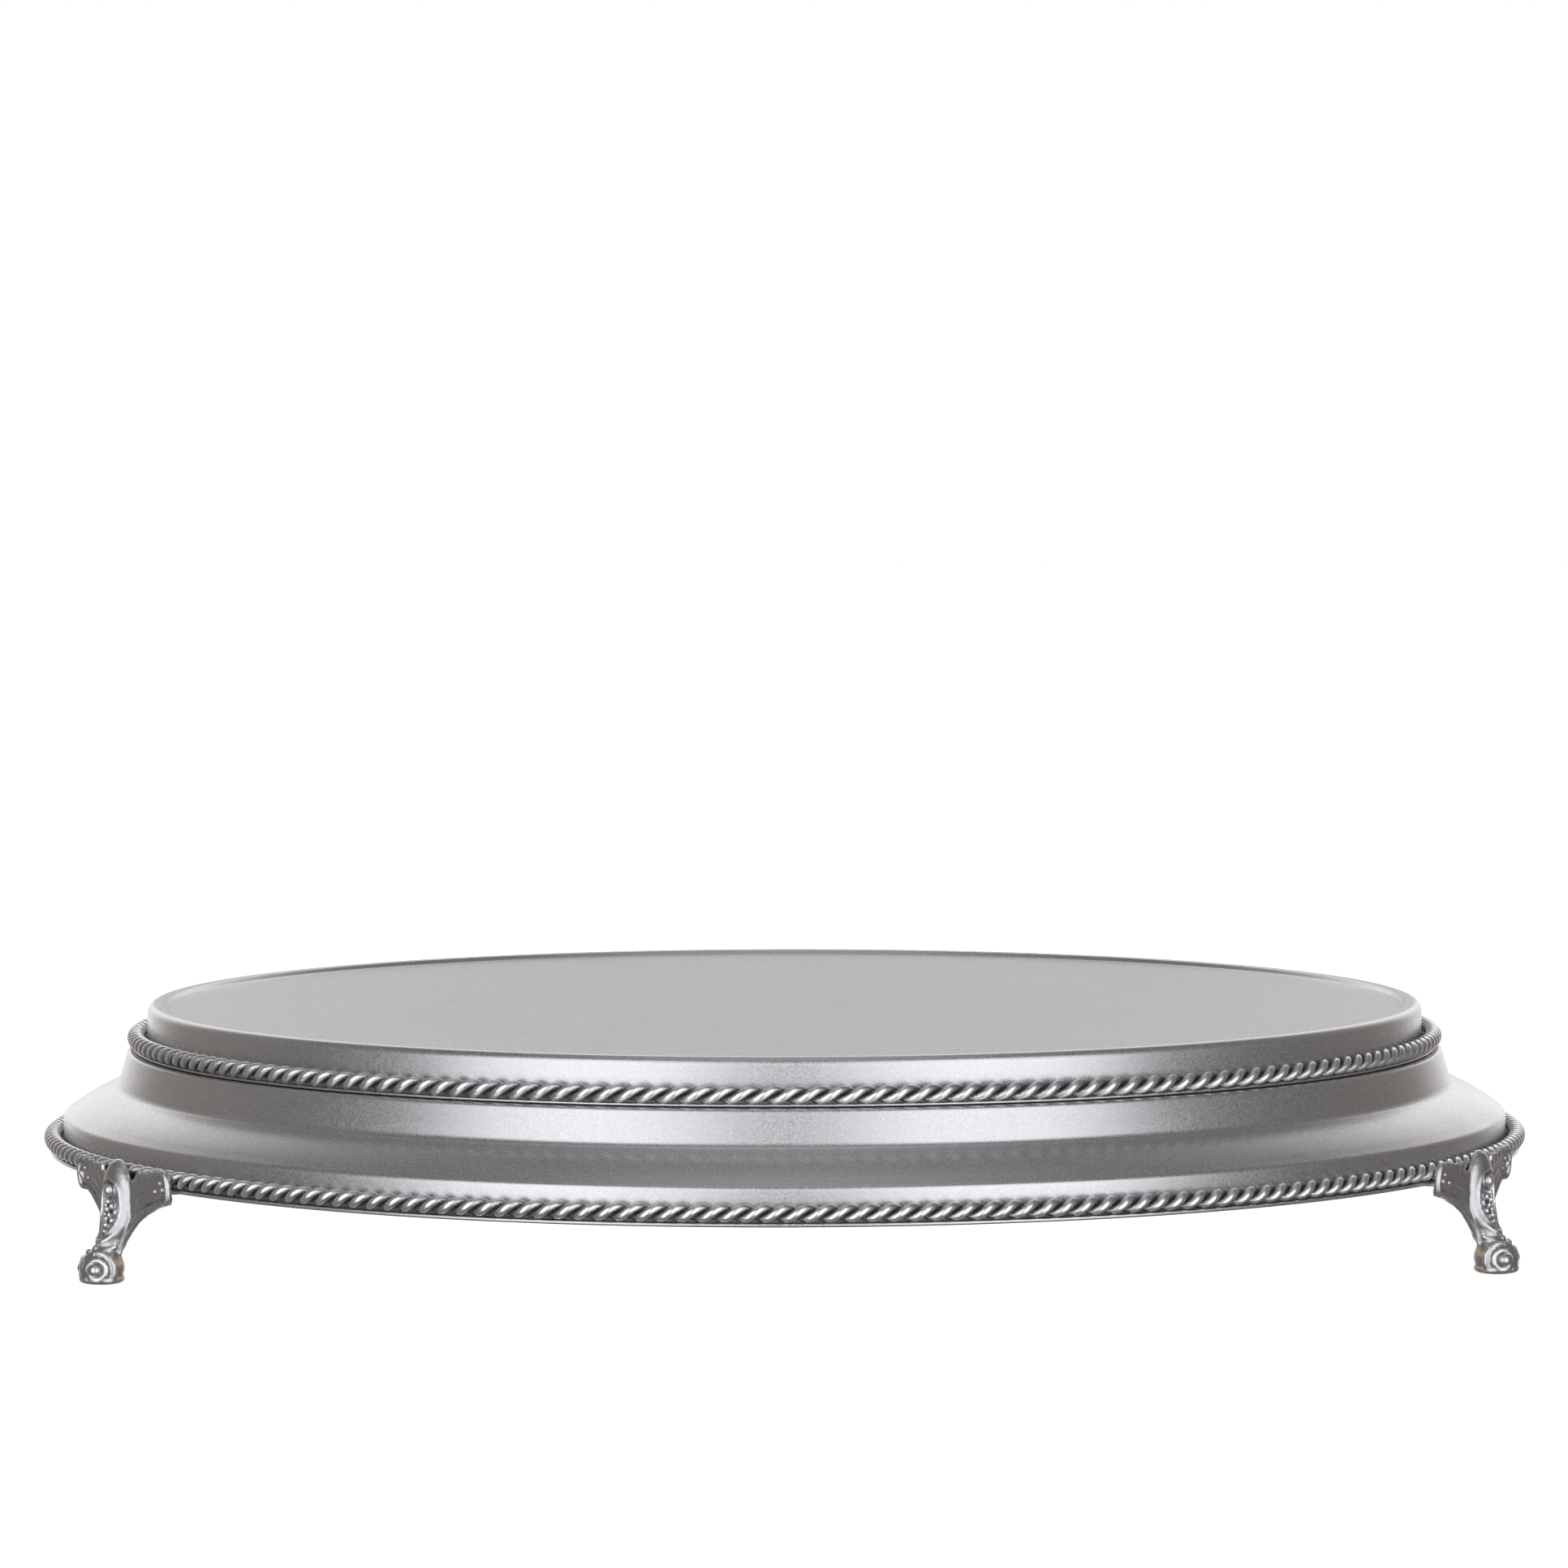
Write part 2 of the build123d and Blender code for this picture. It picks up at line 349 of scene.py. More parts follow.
class PatinaEffect(Effect):
    """Dark wash in the hollows and bright rubbed metal on the ridges, from a relief value."""

    name = "Patina"
    inputs = (("Vector", "NodeSocketVector", 0.0), ("Relief", "NodeSocketFloat", 0.5),
              ("Mottle", "NodeSocketFloat", 900.0))
    outputs = (("Wash", "NodeSocketFloat"), ("Rub", "NodeSocketFloat"),
               ("Height", "NodeSocketFloat"))
    mottle_share = 0.35
    wash_range = (0.42, 0.12)
    rub_range = (0.55, 0.90)

    @classmethod
    def build(cls, wiring: Wiring, given: dict) -> dict:
        """Fill the group: relief shifted by mottling, cut into wash and rub masks.

        Args:
            wiring: The group's wiring.
            given: Input name to its socket.

        Returns:
            Output name to the socket that feeds it.
        """
        mottle = wiring.noise(given["Vector"], given["Mottle"], 4.0, 0.6)
        shift = wiring.math("MULTIPLY", wiring.math("SUBTRACT", mottle, 0.5), cls.mottle_share)
        relief = wiring.math("ADD", given["Relief"], shift)
        wash = wiring.ramp(relief, *cls.wash_range)
        rub = wiring.ramp(relief, *cls.rub_range)
        return {"Wash": wash, "Rub": rub, "Height": mottle}


# ---------------------------------------------------------------- finishes


class Mixer(Wiring):
    """The wiring of a material round one Principled BSDF."""

    def __init__(self, tree: bpy.types.NodeTree) -> None:
        """Add the shader, the output and the object coordinates.

        Args:
            tree: The material's tree.
        """
        super().__init__(tree)
        self.shader = self.add("ShaderNodeBsdfPrincipled")
        self.add("ShaderNodeOutputMaterial", {"Surface": self.shader.outputs[0]})
        self.here = self.add("ShaderNodeTexCoord").outputs["Object"]

    def shade(self, socket: str, value: object) -> None:
        """Set an input of the shader, or feed it."""
        self.feed(self.shader, socket, value)

    def bump(self, height: bpy.types.NodeSocket, depth: float) -> None:
        """Feed the shader's normal from a height whose 1 is this depth in metres."""
        self.shade("Normal", self.add("ShaderNodeBump", {"Height": height,
                                                         "Distance": depth}).outputs[0])


@dataclass(frozen=True)
class Finish:
    """A finish that dresses pieces in one procedural material.

    Attributes:
        name: The material's name.
    """

    name: str

    def material(self) -> bpy.types.Material:
        """The material, built at its first use.

        Returns:
            The procedural material.
        """
        found = bpy.data.materials.get(self.name)
        if found:
            return found
        made = bpy.data.materials.new(self.name)
        made.use_nodes = True
        made.node_tree.nodes.clear()
        self.wire(Mixer(made.node_tree))
        return made

    def wire(self, mixer: Mixer) -> None:
        """Feed the shader."""
        raise NotImplementedError

    def dress(self, piece: bpy.types.Object) -> None:
        """Give a piece this finish all over.

        Args:
            piece: The mesh object.
        """
        if not piece.material_slots:
            piece.data.materials.append(self.material())
        for slot in piece.material_slots:
            slot.material = self.material()


@dataclass(frozen=True)
class SilverPaint(Finish):
    """Metallic silver lacquer on spun sheet, with flakes, painted flake glints, faint rings and
    handling marks.

    Attributes:
        light: Lightness of the paint.
        dark: Lightness of its darker flakes.
        rough: Its mean roughness.
        smear: How far handling lowers and raises the roughness.
        cells: Flakes to the metre.
        rings: Rings left by spinning, to the metre.
        grain: How far a flake changes the roughness.
        metal: How metallic it is.
        coat: Weight and roughness of its clear coat.
        grit: Height of the flakes.
    """

    name: str = "silver_lacquer"
    light: float = 0.66
    dark: float = 0.48
    rough: float = 0.30
    smear: tuple[float, float] = (-0.010, 0.012)
    cells: float = 5200.0
    rings: float = 700.0
    grain: float = 0.32
    metal: float = 0.94
    coat: tuple[float, float] = (0.18, 0.12)
    grit: float = 0.018 * MM

    def wire(self, mixer: Mixer) -> None:
        """Feed the shader of the lacquer.

        Args:
            mixer: The material's mixer.
        """
        flake = FlakeEffect.place(mixer, Vector=mixer.here, Cells=self.cells)
        spun = SpunEffect.place(mixer, Vector=mixer.here, Rings=self.rings)
        marks = HandlingEffect.place(mixer, Vector=mixer.here, Size=26.0)
        paint = mixer.mix(flake["Tone"], grey(self.dark, 0.004), grey(self.light, 0.004))
        ringed = mixer.mix(mixer.math("MULTIPLY", spun["Tone"], 0.10), paint,
                           grey(self.light * 1.1))
        # Painted glints: the glint cells lighten the base colour towards 0.93.
        lit = mixer.mix(mixer.math("MULTIPLY", flake["Glint"], 0.55), ringed, grey(0.93))
        mixer.shade("Base Color", lit)
        base = mixer.ramp(marks["Smear"], 0.0, 1.0, self.rough + self.smear[0],
                          self.rough + self.smear[1])
        middle_tone = 0.6
        grain = mixer.math("MULTIPLY", mixer.math("SUBTRACT", flake["Tone"], middle_tone),
                           self.grain)
        scratch = mixer.math("MULTIPLY", marks["Scratch"], 0.10)
        rough = mixer.math("ADD", mixer.math("ADD", base, grain), scratch)
        mixer.shade("Roughness", rough)
        mixer.shade("Metallic", self.metal)
        mixer.shade("Coat Weight", self.coat[0])
        mixer.shade("Coat Roughness", self.coat[1])
        height = mixer.math("ADD", mixer.math("MULTIPLY", flake["Height"], 0.7),
                            mixer.math("MULTIPLY", spun["Height"], 0.5))
        mixer.bump(height, self.grit)


@dataclass(frozen=True)
class AntiquedSilver(Finish):
    """Silver plate with a dark wash left in its hollows and rubbed bright on its ridges.

    Attributes:
        light: Lightness of the rubbed ridges.
        body: Lightness between ridge and hollow.
        dark: Lightness of the wash.
        rough: Roughness of the plain metal.
        metal: How metallic the plain metal is.
        mottle: Mottles to the metre.
        cells: Grains to the metre.
        graininess: Height of the cast or drawn grain.
    """

    name: str = "antiqued_wire"
    light: float = 0.84
    body: float = 0.56
    dark: float = 0.10
    rough: float = 0.29
    metal: float = 0.97
    mottle: float = 900.0
    cells: float = 4200.0
    graininess: float = 0.03 * MM

    def wire(self, mixer: Mixer) -> None:
        """Feed the shader of the plate and its wash.

        Args:
            mixer: The material's mixer.
        """
        relief = mixer.add("ShaderNodeAttribute", None, attribute_name="relief").outputs["Fac"]
        patina = PatinaEffect.place(mixer, Vector=mixer.here, Relief=relief,
                                    Mottle=self.mottle)
        flake = FlakeEffect.place(mixer, Vector=mixer.here, Cells=self.cells)
        plain = mixer.mix(mixer.math("MULTIPLY", flake["Tone"], 0.5),
                          grey(self.body * 0.86, 0.012), grey(self.body * 1.12, 0.008))
        rubbed = mixer.mix(patina["Rub"], plain, grey(self.light, 0.004))
        washed = mixer.mix(patina["Wash"], rubbed, grey(self.dark, 0.06))
        mixer.shade("Base Color", washed)
        dull = mixer.math("MULTIPLY", patina["Wash"], 0.28)
        bright = mixer.math("MULTIPLY", patina["Rub"], -0.07)
        grain = mixer.math("MULTIPLY", flake["Tone"], 0.05)
        rough = mixer.math("ADD", mixer.math("ADD", dull, bright),
                           mixer.math("ADD", grain, self.rough))
        mixer.shade("Roughness", rough)
        metallic = mixer.math("SUBTRACT", self.metal,
                              mixer.math("MULTIPLY", patina["Wash"], 0.35))
        mixer.shade("Metallic", metallic)
        height = mixer.math("ADD", patina["Height"], mixer.math("MULTIPLY", flake["Tone"], 0.4))
        mixer.bump(height, self.graininess)


@dataclass(frozen=True)
class TurnedAluminium(Finish):
    """Turned aluminium with fine lathe rings."""

    name: str = "turned_aluminium"

    def wire(self, mixer: Mixer) -> None:
        """Feed the shader of the aluminium.

        Args:
            mixer: The material's mixer.
        """
        spun = SpunEffect.place(mixer, Vector=mixer.here, Rings=2600.0, Wander=8.0)
        marks = HandlingEffect.place(mixer, Vector=mixer.here, Size=35.0)
        metal = mixer.mix(spun["Tone"], grey(0.60), grey(0.78))
        worn = mixer.mix(mixer.math("MULTIPLY", marks["Smear"], 0.3), metal, grey(0.55, 0.02))
        mixer.shade("Base Color", worn)
        rough = mixer.math("ADD", mixer.math("MULTIPLY", spun["Tone"], 0.10),
                           mixer.ramp(marks["Smear"], 0.0, 1.0, 0.24, 0.36))
        mixer.shade("Roughness", rough)
        mixer.shade("Metallic", 1.0)
        mixer.bump(spun["Height"], 0.02 * MM)


@dataclass(frozen=True)
class ZincPlate(Finish):
    """Bright zinc plate with a faint cloudy bloom and scratches."""

    name: str = "zinc_plate"

    def wire(self, mixer: Mixer) -> None:
        """Feed the shader of the plating.

        Args:
            mixer: The material's mixer.
        """
        marks = HandlingEffect.place(mixer, Vector=mixer.here, Size=160.0)
        bloom = mixer.noise(mixer.here, 700.0, 5.0, 0.65)
        metal = mixer.mix(bloom, grey(0.52, 0.03), grey(0.72, 0.01))
        scratched = mixer.mix(mixer.math("MULTIPLY", marks["Scratch"], 0.5), metal, grey(0.85))
        mixer.shade("Base Color", scratched)
        rough = mixer.math("ADD", mixer.math("MULTIPLY", bloom, 0.22),
                           mixer.math("MULTIPLY", marks["Smear"], 0.08))
        mixer.shade("Roughness", mixer.math("ADD", rough, 0.14))
        mixer.shade("Metallic", 1.0)
        mixer.bump(bloom, 0.02 * MM)


@dataclass(frozen=True)
class PolishedSteel(Finish):
    """Polished ball steel under a thin smear of grease."""

    name: str = "ball_steel"

    def wire(self, mixer: Mixer) -> None:
        """Feed the shader of the balls.

        Args:
            mixer: The material's mixer.
        """
        grease = mixer.ramp(mixer.noise(mixer.here, 420.0, 3.0), 0.40, 0.65)
        mixer.shade("Base Color", mixer.mix(grease, grey(0.80), grey(0.62, 0.08)))
        mixer.shade("Roughness", mixer.math("ADD", mixer.math("MULTIPLY", grease, 0.20),
                                                     0.07))
        mixer.shade("Coat Weight", mixer.math("MULTIPLY", grease, 0.5))
        mixer.shade("Metallic", 1.0)


@dataclass(frozen=True)
class MouldedPlastic(Finish):
    """Natural moulded plastic, a little cloudy."""

    name: str = "natural_plastic"

    def wire(self, mixer: Mixer) -> None:
        """Feed the shader of the cage.

        Args:
            mixer: The material's mixer.
        """
        cloud = mixer.noise(mixer.here, 90.0, 4.0, 0.6)
        speck = mixer.noise(mixer.here, 2600.0, 2.0)
        mixer.shade("Base Color", mixer.mix(cloud, (0.76, 0.73, 0.64, 1.0),
                                                     (0.86, 0.84, 0.78, 1.0)))
        mixer.shade("Roughness", mixer.ramp(speck, 0.2, 0.8, 0.42, 0.58))
        mixer.shade("Subsurface Weight", 0.1)
        mixer.bump(speck, 0.02 * MM)


@dataclass(frozen=True)
class Plywood(Finish):
    """Sanded plywood: long face grain, and its plies on the edge.

    Attributes:
        ply: Thickness of one ply.
        figure: Figure lines to the metre along and across the grain.
        pores: Pores to the metre along and across the grain.
        early: Colour of the dark wood of a year's growth.
        late: Colour of the pale wood.
        cross: Colour of the plies that lie across.
        pore: Colour of the pores.
    """

    name: str = "birch_plywood"
    ply: float = 1.5 * MM
    figure: tuple[float, ...] = (6.0, 70.0, 70.0)
    pores: tuple[float, ...] = (60.0, 1500.0, 1500.0)
    early: tuple[float, ...] = (0.52, 0.42, 0.31, 1.0)
    late: tuple[float, ...] = (0.66, 0.56, 0.44, 1.0)
    cross: tuple[float, ...] = (0.38, 0.28, 0.18, 1.0)
    pore: tuple[float, ...] = (0.30, 0.22, 0.15, 1.0)

    def wire(self, mixer: Mixer) -> None:
        """Feed the shader of the board.

        Args:
            mixer: The material's mixer.
        """
        bent = mixer.warp(mixer.here, 7.0, 0.04)
        figure = mixer.noise(mixer.vector("MULTIPLY", bent, self.figure), 1.0, 5.0, 0.6)
        pores = mixer.noise(mixer.vector("MULTIPLY", bent, self.pores), 1.0, 2.0)
        parts = mixer.add("ShaderNodeSeparateXYZ", {0: mixer.here})
        layer = mixer.math("FRACT", mixer.math("DIVIDE", parts.outputs[2], self.ply * 2))
        plies = mixer.ramp(layer, 0.47, 0.53)
        wood = mixer.mix(mixer.ramp(figure, 0.3, 0.7), self.early, self.late)
        banded = mixer.mix(mixer.math("MULTIPLY", plies, 0.22), wood, self.cross)
        pored = mixer.mix(mixer.ramp(pores, 0.62, 0.75, 0.0, 0.45), banded, self.pore)
        mixer.shade("Base Color", pored)
        mixer.shade("Roughness", mixer.ramp(pores, 0.3, 0.8, 0.55, 0.75))
        mixer.bump(mixer.math("ADD", pores, figure), 0.06 * MM)


@dataclass(frozen=True)
class StudioPaper(Finish):
    """Matte white sheet, lit from behind, under the stand.

    Attributes:
        light: Its lightness.
        glow: The light that comes through it.
    """

    name: str = "studio_paper"
    light: float = 0.86
    glow: float = 0.78

    def wire(self, mixer: Mixer) -> None:
        """Feed the shader of the floor.

        Args:
            mixer: The material's mixer.
        """
        fibre = mixer.noise(mixer.here, 900.0, 3.0)
        mixer.shade("Base Color", mixer.mix(fibre, grey(self.light - 0.01),
                                                     grey(self.light + 0.01)))
        mixer.shade("Roughness", 0.9)
        mixer.shade("Specular IOR Level", 0.2)
        mixer.shade("Emission Color", (1.0, 1.0, 1.0, 1.0))
        mixer.shade("Emission Strength", self.glow)


# ---------------------------------------------------------------- making of pieces


def new_piece(name: str, mesh: bpy.types.Mesh) -> bpy.types.Object:
    """Put a mesh in the scene as an object at the origin, shaded smooth.

    Args:
        name: The piece's name.
        mesh: Its mesh.

    Returns:
        The object.
    """
    piece = bpy.data.objects.new(name, mesh)
    bpy.context.scene.collection.objects.link(piece)
    mesh.shade_smooth()
    return piece


def mesh_of(name: str, points: object, faces: object, edges: object = ()) -> bpy.types.Mesh:
    """Make a mesh from lists.

    Args:
        name: The mesh's name.
        points: Its vertices.
        faces: Its faces, as lists of vertex numbers.
        edges: Its loose edges.

    Returns:
        The mesh.
    """
    mesh = bpy.data.meshes.new(name)
    mesh.from_pydata(points, edges, faces)
    mesh.update()
    return mesh


def settle(piece: bpy.types.Object, body: Body, slot: Slot, *nodes: str) -> None:
    """Let a finished piece ride on its body and stand for CAD nodes.

    Args:
        piece: The piece.
        body: The body that it moves with.
        slot: The record's material slot; not used.
        nodes: The CAD nodes that it replaces.
    """
    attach(piece, body.value)
    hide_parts(*nodes)
    log.info("%s rides on %s: %d faces", piece.name, body.value, len(piece.data.polygons))


class Grower:
    """A Geometry Nodes tree that grows a piece, and the steps that apply it."""

    def __init__(self, name: str, sizes: dict[str, tuple[str, object]]) -> None:
        """Start the tree with its named inputs.

        Args:
            name: The tree's name.
            sizes: Input name to its socket type and value.
        """
        self.tree = bpy.data.node_groups.new(name, "GeometryNodeTree")
        interface = self.tree.interface
        interface.new_socket("Geometry", in_out="INPUT", socket_type="NodeSocketGeometry")
        interface.new_socket("Geometry", in_out="OUTPUT", socket_type="NodeSocketGeometry")
        self.values = {}
        for label, (kind, value) in sizes.items():
            socket = interface.new_socket(label, in_out="INPUT", socket_type=kind)
            self.values[socket.identifier] = value
        self.wiring = Wiring(self.tree)
        source = self.wiring.add("NodeGroupInput")
        self.given = {s.name: s for s in source.outputs if s.name}

    def end(self, geometry: bpy.types.NodeSocket) -> None:
        """Close the tree with Realize Instances and Set Material.

        Args:
            geometry: The geometry that the tree has grown.
        """
        real = self.wiring.add("GeometryNodeRealizeInstances", {0: geometry})
        painted = self.wiring.add("GeometryNodeSetMaterial", {0: real.outputs[0]})
        self.wiring.feed(painted, "Material", self.given["Finish"])
        target = self.wiring.add("NodeGroupOutput")
        self.wiring.feed(target, 0, painted.outputs[0])

    def grow(self, name: str, seed: bpy.types.Mesh) -> bpy.types.Object:
        """Grow the piece from a seed mesh and keep the result as a plain mesh.

        Args:
            name: The piece's name.
            seed: The mesh that the tree starts from.

        Returns:
            The finished object, with no modifier left.
        """
        piece = new_piece(name, seed)
        modifier = piece.modifiers.new("grow", "NODES")
        modifier.node_group = self.tree
        for identifier, value in self.values.items():
            modifier[identifier] = value
        graph = bpy.context.evaluated_depsgraph_get()
        grown = bpy.data.meshes.new_from_object(
            piece.evaluated_get(graph), preserve_all_data_layers=True, depsgraph=graph)
        piece.modifiers.remove(modifier)
        piece.data = grown
        grown.name = name
        grown.shade_smooth()
        return piece


# ---------------------------------------------------------------- spun sheet


@dataclass(frozen=True)
class SheetSection:
    """The section of a spun sheet, given by its outer outline from the axis outwards.

    Attributes:
        corners: Radius and height of each corner of the outline.
        bends: Bend radius at each inner corner.
        sheet: The sheet's thickness.
        arc_step: Largest turn between two points of a bend, in degrees.
        run_step: Longest stretch between two points of a straight run.
        guard: Length of the short stretch beside each bend.
    """

    corners: tuple[tuple[float, float], ...]
    bends: tuple[float, ...]
    sheet: float
    arc_step: float = 6.0
    run_step: float = 9.0 * MM
    guard: float = 0.25 * MM

    def skin(self) -> list[tuple[Vector, Vector]]:
        """Points of the outer outline, each with its outward normal.

        Returns:
            Pairs of point and normal, from the axis outwards.
        """
        corners = [Vector(c) for c in self.corners]
        trail = []
        start = corners[0]
        for index, bend in enumerate(self.bends, start=1):
            before, here, after = corners[index - 1:index + 2]
            arrive = (here - before).normalized()
            leave = (after - here).normalized()
            turn = -arrive.angle_signed(leave)
            back = bend * math.tan(abs(turn) / 2)
            self.run(trail, start, here - arrive * back)
            self.arc(trail, here - arrive * back, arrive, turn, bend)
            start = here + leave * back
        self.run(trail, start, corners[-1])
        return trail

    def run(self, trail: list, start: Vector, end: Vector) -> None:
        """Add a straight run, with a short stretch at each end.

        Args:
            trail: The list of points and normals so far.
            start: Where the run starts.
            end: Where it ends.
        """
        length = (end - start).length
        along = (end - start) / length
        normal = Vector((-along.y, along.x))
        guard = min(self.guard, length / 4)
        count = max(1, math.ceil((length - 2 * guard) / self.run_step))
        stops = [0.0] + [guard + (length - 2 * guard) * i / count for i in range(count + 1)]
        trail.extend((start + along * stop, normal) for stop in stops + [length])

    def arc(self, trail: list, start: Vector, arrive: Vector, turn: float, bend: float) -> None:
        """Add the inner points of a bend.

        Args:
            trail: The list of points and normals so far.
            start: Where the bend starts.
            arrive: The direction there.
            turn: The angle it turns by, positive to the left.
            bend: Its radius.
        """
        side = math.copysign(1.0, turn)
        left = Vector((-arrive.y, arrive.x))
        centre = start + left * bend * side
        count = math.ceil(math.degrees(abs(turn)) / self.arc_step)
        for index in range(1, count):
            normal = left.copy()
            normal.rotate(Matrix.Rotation(turn * index / count, 2))
            trail.append((centre - normal * bend * side, normal))

    def loop(self) -> list[tuple[float, float]]:
        """The whole section, from the axis out along the skin and back along its inside.

        Returns:
            Radius and height of each point; the first and the last are on the axis.
        """
        skin = self.skin()
        tip, normal = skin[-1]
        outward = Vector((normal.y, -normal.x))
        half = self.sheet / 2
        edge = []
        for degrees in (30, 60, 90, 120, 150):
            swing = math.radians(degrees)
            spot = tip - normal * half * (1 - math.cos(swing)) + outward * half * math.sin(swing)
            edge.append(spot - outward * half)
        outer = [point for point, _ in skin[:-1]] + [tip - outward * half]
        inner = [point - normal * self.sheet for point, normal in reversed(skin[:-1])]
        inner = [tip - outward * half - normal * self.sheet] + inner
        return [(p.x, p.y) for p in outer + edge + inner]


@dataclass
class SpunSheet:
    """A spun sheet, revolved from its section.

    Attributes:
        name: The piece's name.
        section: Its section.
        segments: Segments round the axis.
        path_radius: Radius of the path that the section is swept along.
        weld: Distance below which points at the pole are joined.
    """

    name: str
    section: SheetSection
    segments: int = 480
    path_radius: float = 0.1
    weld: float = 0.002 * MM

    def build(self, finish: Finish) -> bpy.types.Object:
        """Revolve the section with Geometry Nodes.

        Args:
            finish: The sheet's finish.

        Returns:
            The finished piece.
        """
        sizes = {"Segments": ("NodeSocketInt", self.segments),
                 "Path Radius": ("NodeSocketFloat", self.path_radius),
                 "Finish": ("NodeSocketMaterial", finish.material())}
        grower = Grower("Revolve " + self.name, sizes)
        wiring, given = grower.wiring, grower.given
        profile = wiring.add("GeometryNodeMeshToCurve", {0: given["Geometry"]})
        inward = wiring.add("ShaderNodeCombineXYZ", {0: wiring.math("MULTIPLY",
                                                                    given["Path Radius"], -1.0)})
        shifted = wiring.add("GeometryNodeTransform", {"Geometry": profile.outputs[0],
                                                       "Translation": inward.outputs[0]})
        path = wiring.add("GeometryNodeCurvePrimitiveCircle", {"Resolution": given["Segments"],
                                                               "Radius": given["Path Radius"]})
        swept = wiring.add("GeometryNodeCurveToMesh", {"Curve": path.outputs[0],
                                                       "Profile Curve": shifted.outputs[0]})
        closed = wiring.add("GeometryNodeMergeByDistance", {"Geometry": swept.outputs[0],
                                                            "Distance": self.weld})
        grower.end(closed.outputs[0])
        loop = self.section.loop()
        points = [(radius, -height, 0.0) for radius, height in loop]
        edges = [(index, index + 1) for index in range(len(points) - 1)]
        return grower.grow(self.name, mesh_of(self.name, points, (), edges))


# ---------------------------------------------------------------- twisted rope


@dataclass
class TwistedRope:
    """A closed ring of two wires twisted together.

    Attributes:
        name: The piece's name.
        node: The CAD ring that it stands in for.
        wire: Radius of one wire.
        twists: Whole twists round the ring.
        strands: Number of wires.
        steps: Points of a wire to each twist.
        sides: Sides of a wire's section.
    """

    name: str
    node: str
    wire: float
    twists: int
    strands: int = 2
    steps: int = 14
    sides: int = 12

    def build(self, finish: Finish) -> bpy.types.Object:
        """Grow the strands with Geometry Nodes.

        Args:
            finish: The rope's finish.

        Returns:
            The finished piece, with its depth inside the rope as the attribute relief.
        """
        low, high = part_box(self.node)
        sizes = {"Circle": ("NodeSocketFloat", high.x - 2 * self.wire),
                 "Height": ("NodeSocketFloat", (low.z + high.z) / 2),
                 "Wire": ("NodeSocketFloat", self.wire),
                 "Twists": ("NodeSocketInt", self.twists),
                 "Steps": ("NodeSocketInt", self.steps),
                 "Sides": ("NodeSocketInt", self.sides),
                 "Finish": ("NodeSocketMaterial", finish.material())}
        grower = Grower("Twist " + self.name, sizes)
        wiring, given = grower.wiring, grower.given
        joined = wiring.add("GeometryNodeJoinGeometry")
        for strand in range(self.strands):
            wire = self.strand(wiring, given, 2 * math.pi * strand / self.strands)
            wiring.tree.links.new(wire, joined.inputs[0])
        around, across = self.ring_place(wiring, given)
        depth = wiring.math("SQRT", wiring.math("ADD", wiring.math("POWER", around, 2.0),
                                                wiring.math("POWER", across, 2.0)))
        rise = wiring.math("DIVIDE", depth, wiring.math("MULTIPLY", given["Wire"], 2.0))
        store = wiring.add("GeometryNodeStoreNamedAttribute", {"Geometry": joined.outputs[0],
                                                               "Name": "relief"})
        store.data_type = "FLOAT"
        store.domain = "POINT"
        wiring.feed(store, "Value", wiring.ramp(rise, 0.50, 1.0))
        grower.end(store.outputs[0])
        return grower.grow(self.name, mesh_of(self.name, ((0.0, 0.0, 0.0),), ()))

    @staticmethod
    def ring_place(wiring: Wiring, given: dict) -> tuple:
        """Where a point lies in the rope's section.

        Args:
            wiring: The tree's wiring.
            given: The tree's inputs.

        Returns:
            Sockets of its place outwards and upwards of the rope's middle.
        """
        place = wiring.add("GeometryNodeInputPosition").outputs[0]
        parts = wiring.add("ShaderNodeSeparateXYZ", {0: place})
        flat = wiring.vector("MULTIPLY", place, (1.0, 1.0, 0.0))
        around = wiring.math("SUBTRACT", wiring.vector("LENGTH", flat), given["Circle"])
        across = wiring.math("SUBTRACT", parts.outputs[2], given["Height"])
        return around, across

    @staticmethod
    def strand(wiring: Wiring, given: dict, phase: float) -> bpy.types.NodeSocket:
        """One wire of the rope.

        Args:
            wiring: The tree's wiring.
            given: The tree's inputs.
            phase: Where the wire starts in its turn about the rope's middle.

        Returns:
            The socket of the wire's mesh.
        """
        count = wiring.math("MULTIPLY", given["Twists"], given["Steps"])
        ring = wiring.add("GeometryNodeCurvePrimitiveCircle", {"Resolution": count,
                                                               "Radius": given["Circle"]})
        index = wiring.add("GeometryNodeInputIndex").outputs[0]
        part = wiring.math("DIVIDE", index, count)
        angle = wiring.math("MULTIPLY", part, 2 * math.pi)
        twist = wiring.math("MULTIPLY_ADD", angle, given["Twists"], phase)
        out = wiring.math("MULTIPLY_ADD", wiring.math("COSINE", twist), given["Wire"],
                          given["Circle"])
        up = wiring.math("MULTIPLY_ADD", wiring.math("SINE", twist), given["Wire"],
                         given["Height"])
        side = wiring.math("MULTIPLY", wiring.math("COSINE", angle), out)
        ahead = wiring.math("MULTIPLY", wiring.math("SINE", angle), out)
        place = wiring.add("ShaderNodeCombineXYZ", {0: side, 1: ahead, 2: up}).outputs[0]
        helix = wiring.add("GeometryNodeSetPosition", {"Geometry": ring.outputs[0],
                                                       "Position": place})
        profile = wiring.add("GeometryNodeCurvePrimitiveCircle", {"Resolution": given["Sides"],
                                                                  "Radius": given["Wire"]})
        swept = wiring.add("GeometryNodeCurveToMesh", {"Curve": helix.outputs[0],
                                                       "Profile Curve": profile.outputs[0]})
        return swept.outputs[0]


# ---------------------------------------------------------------- solid casting field


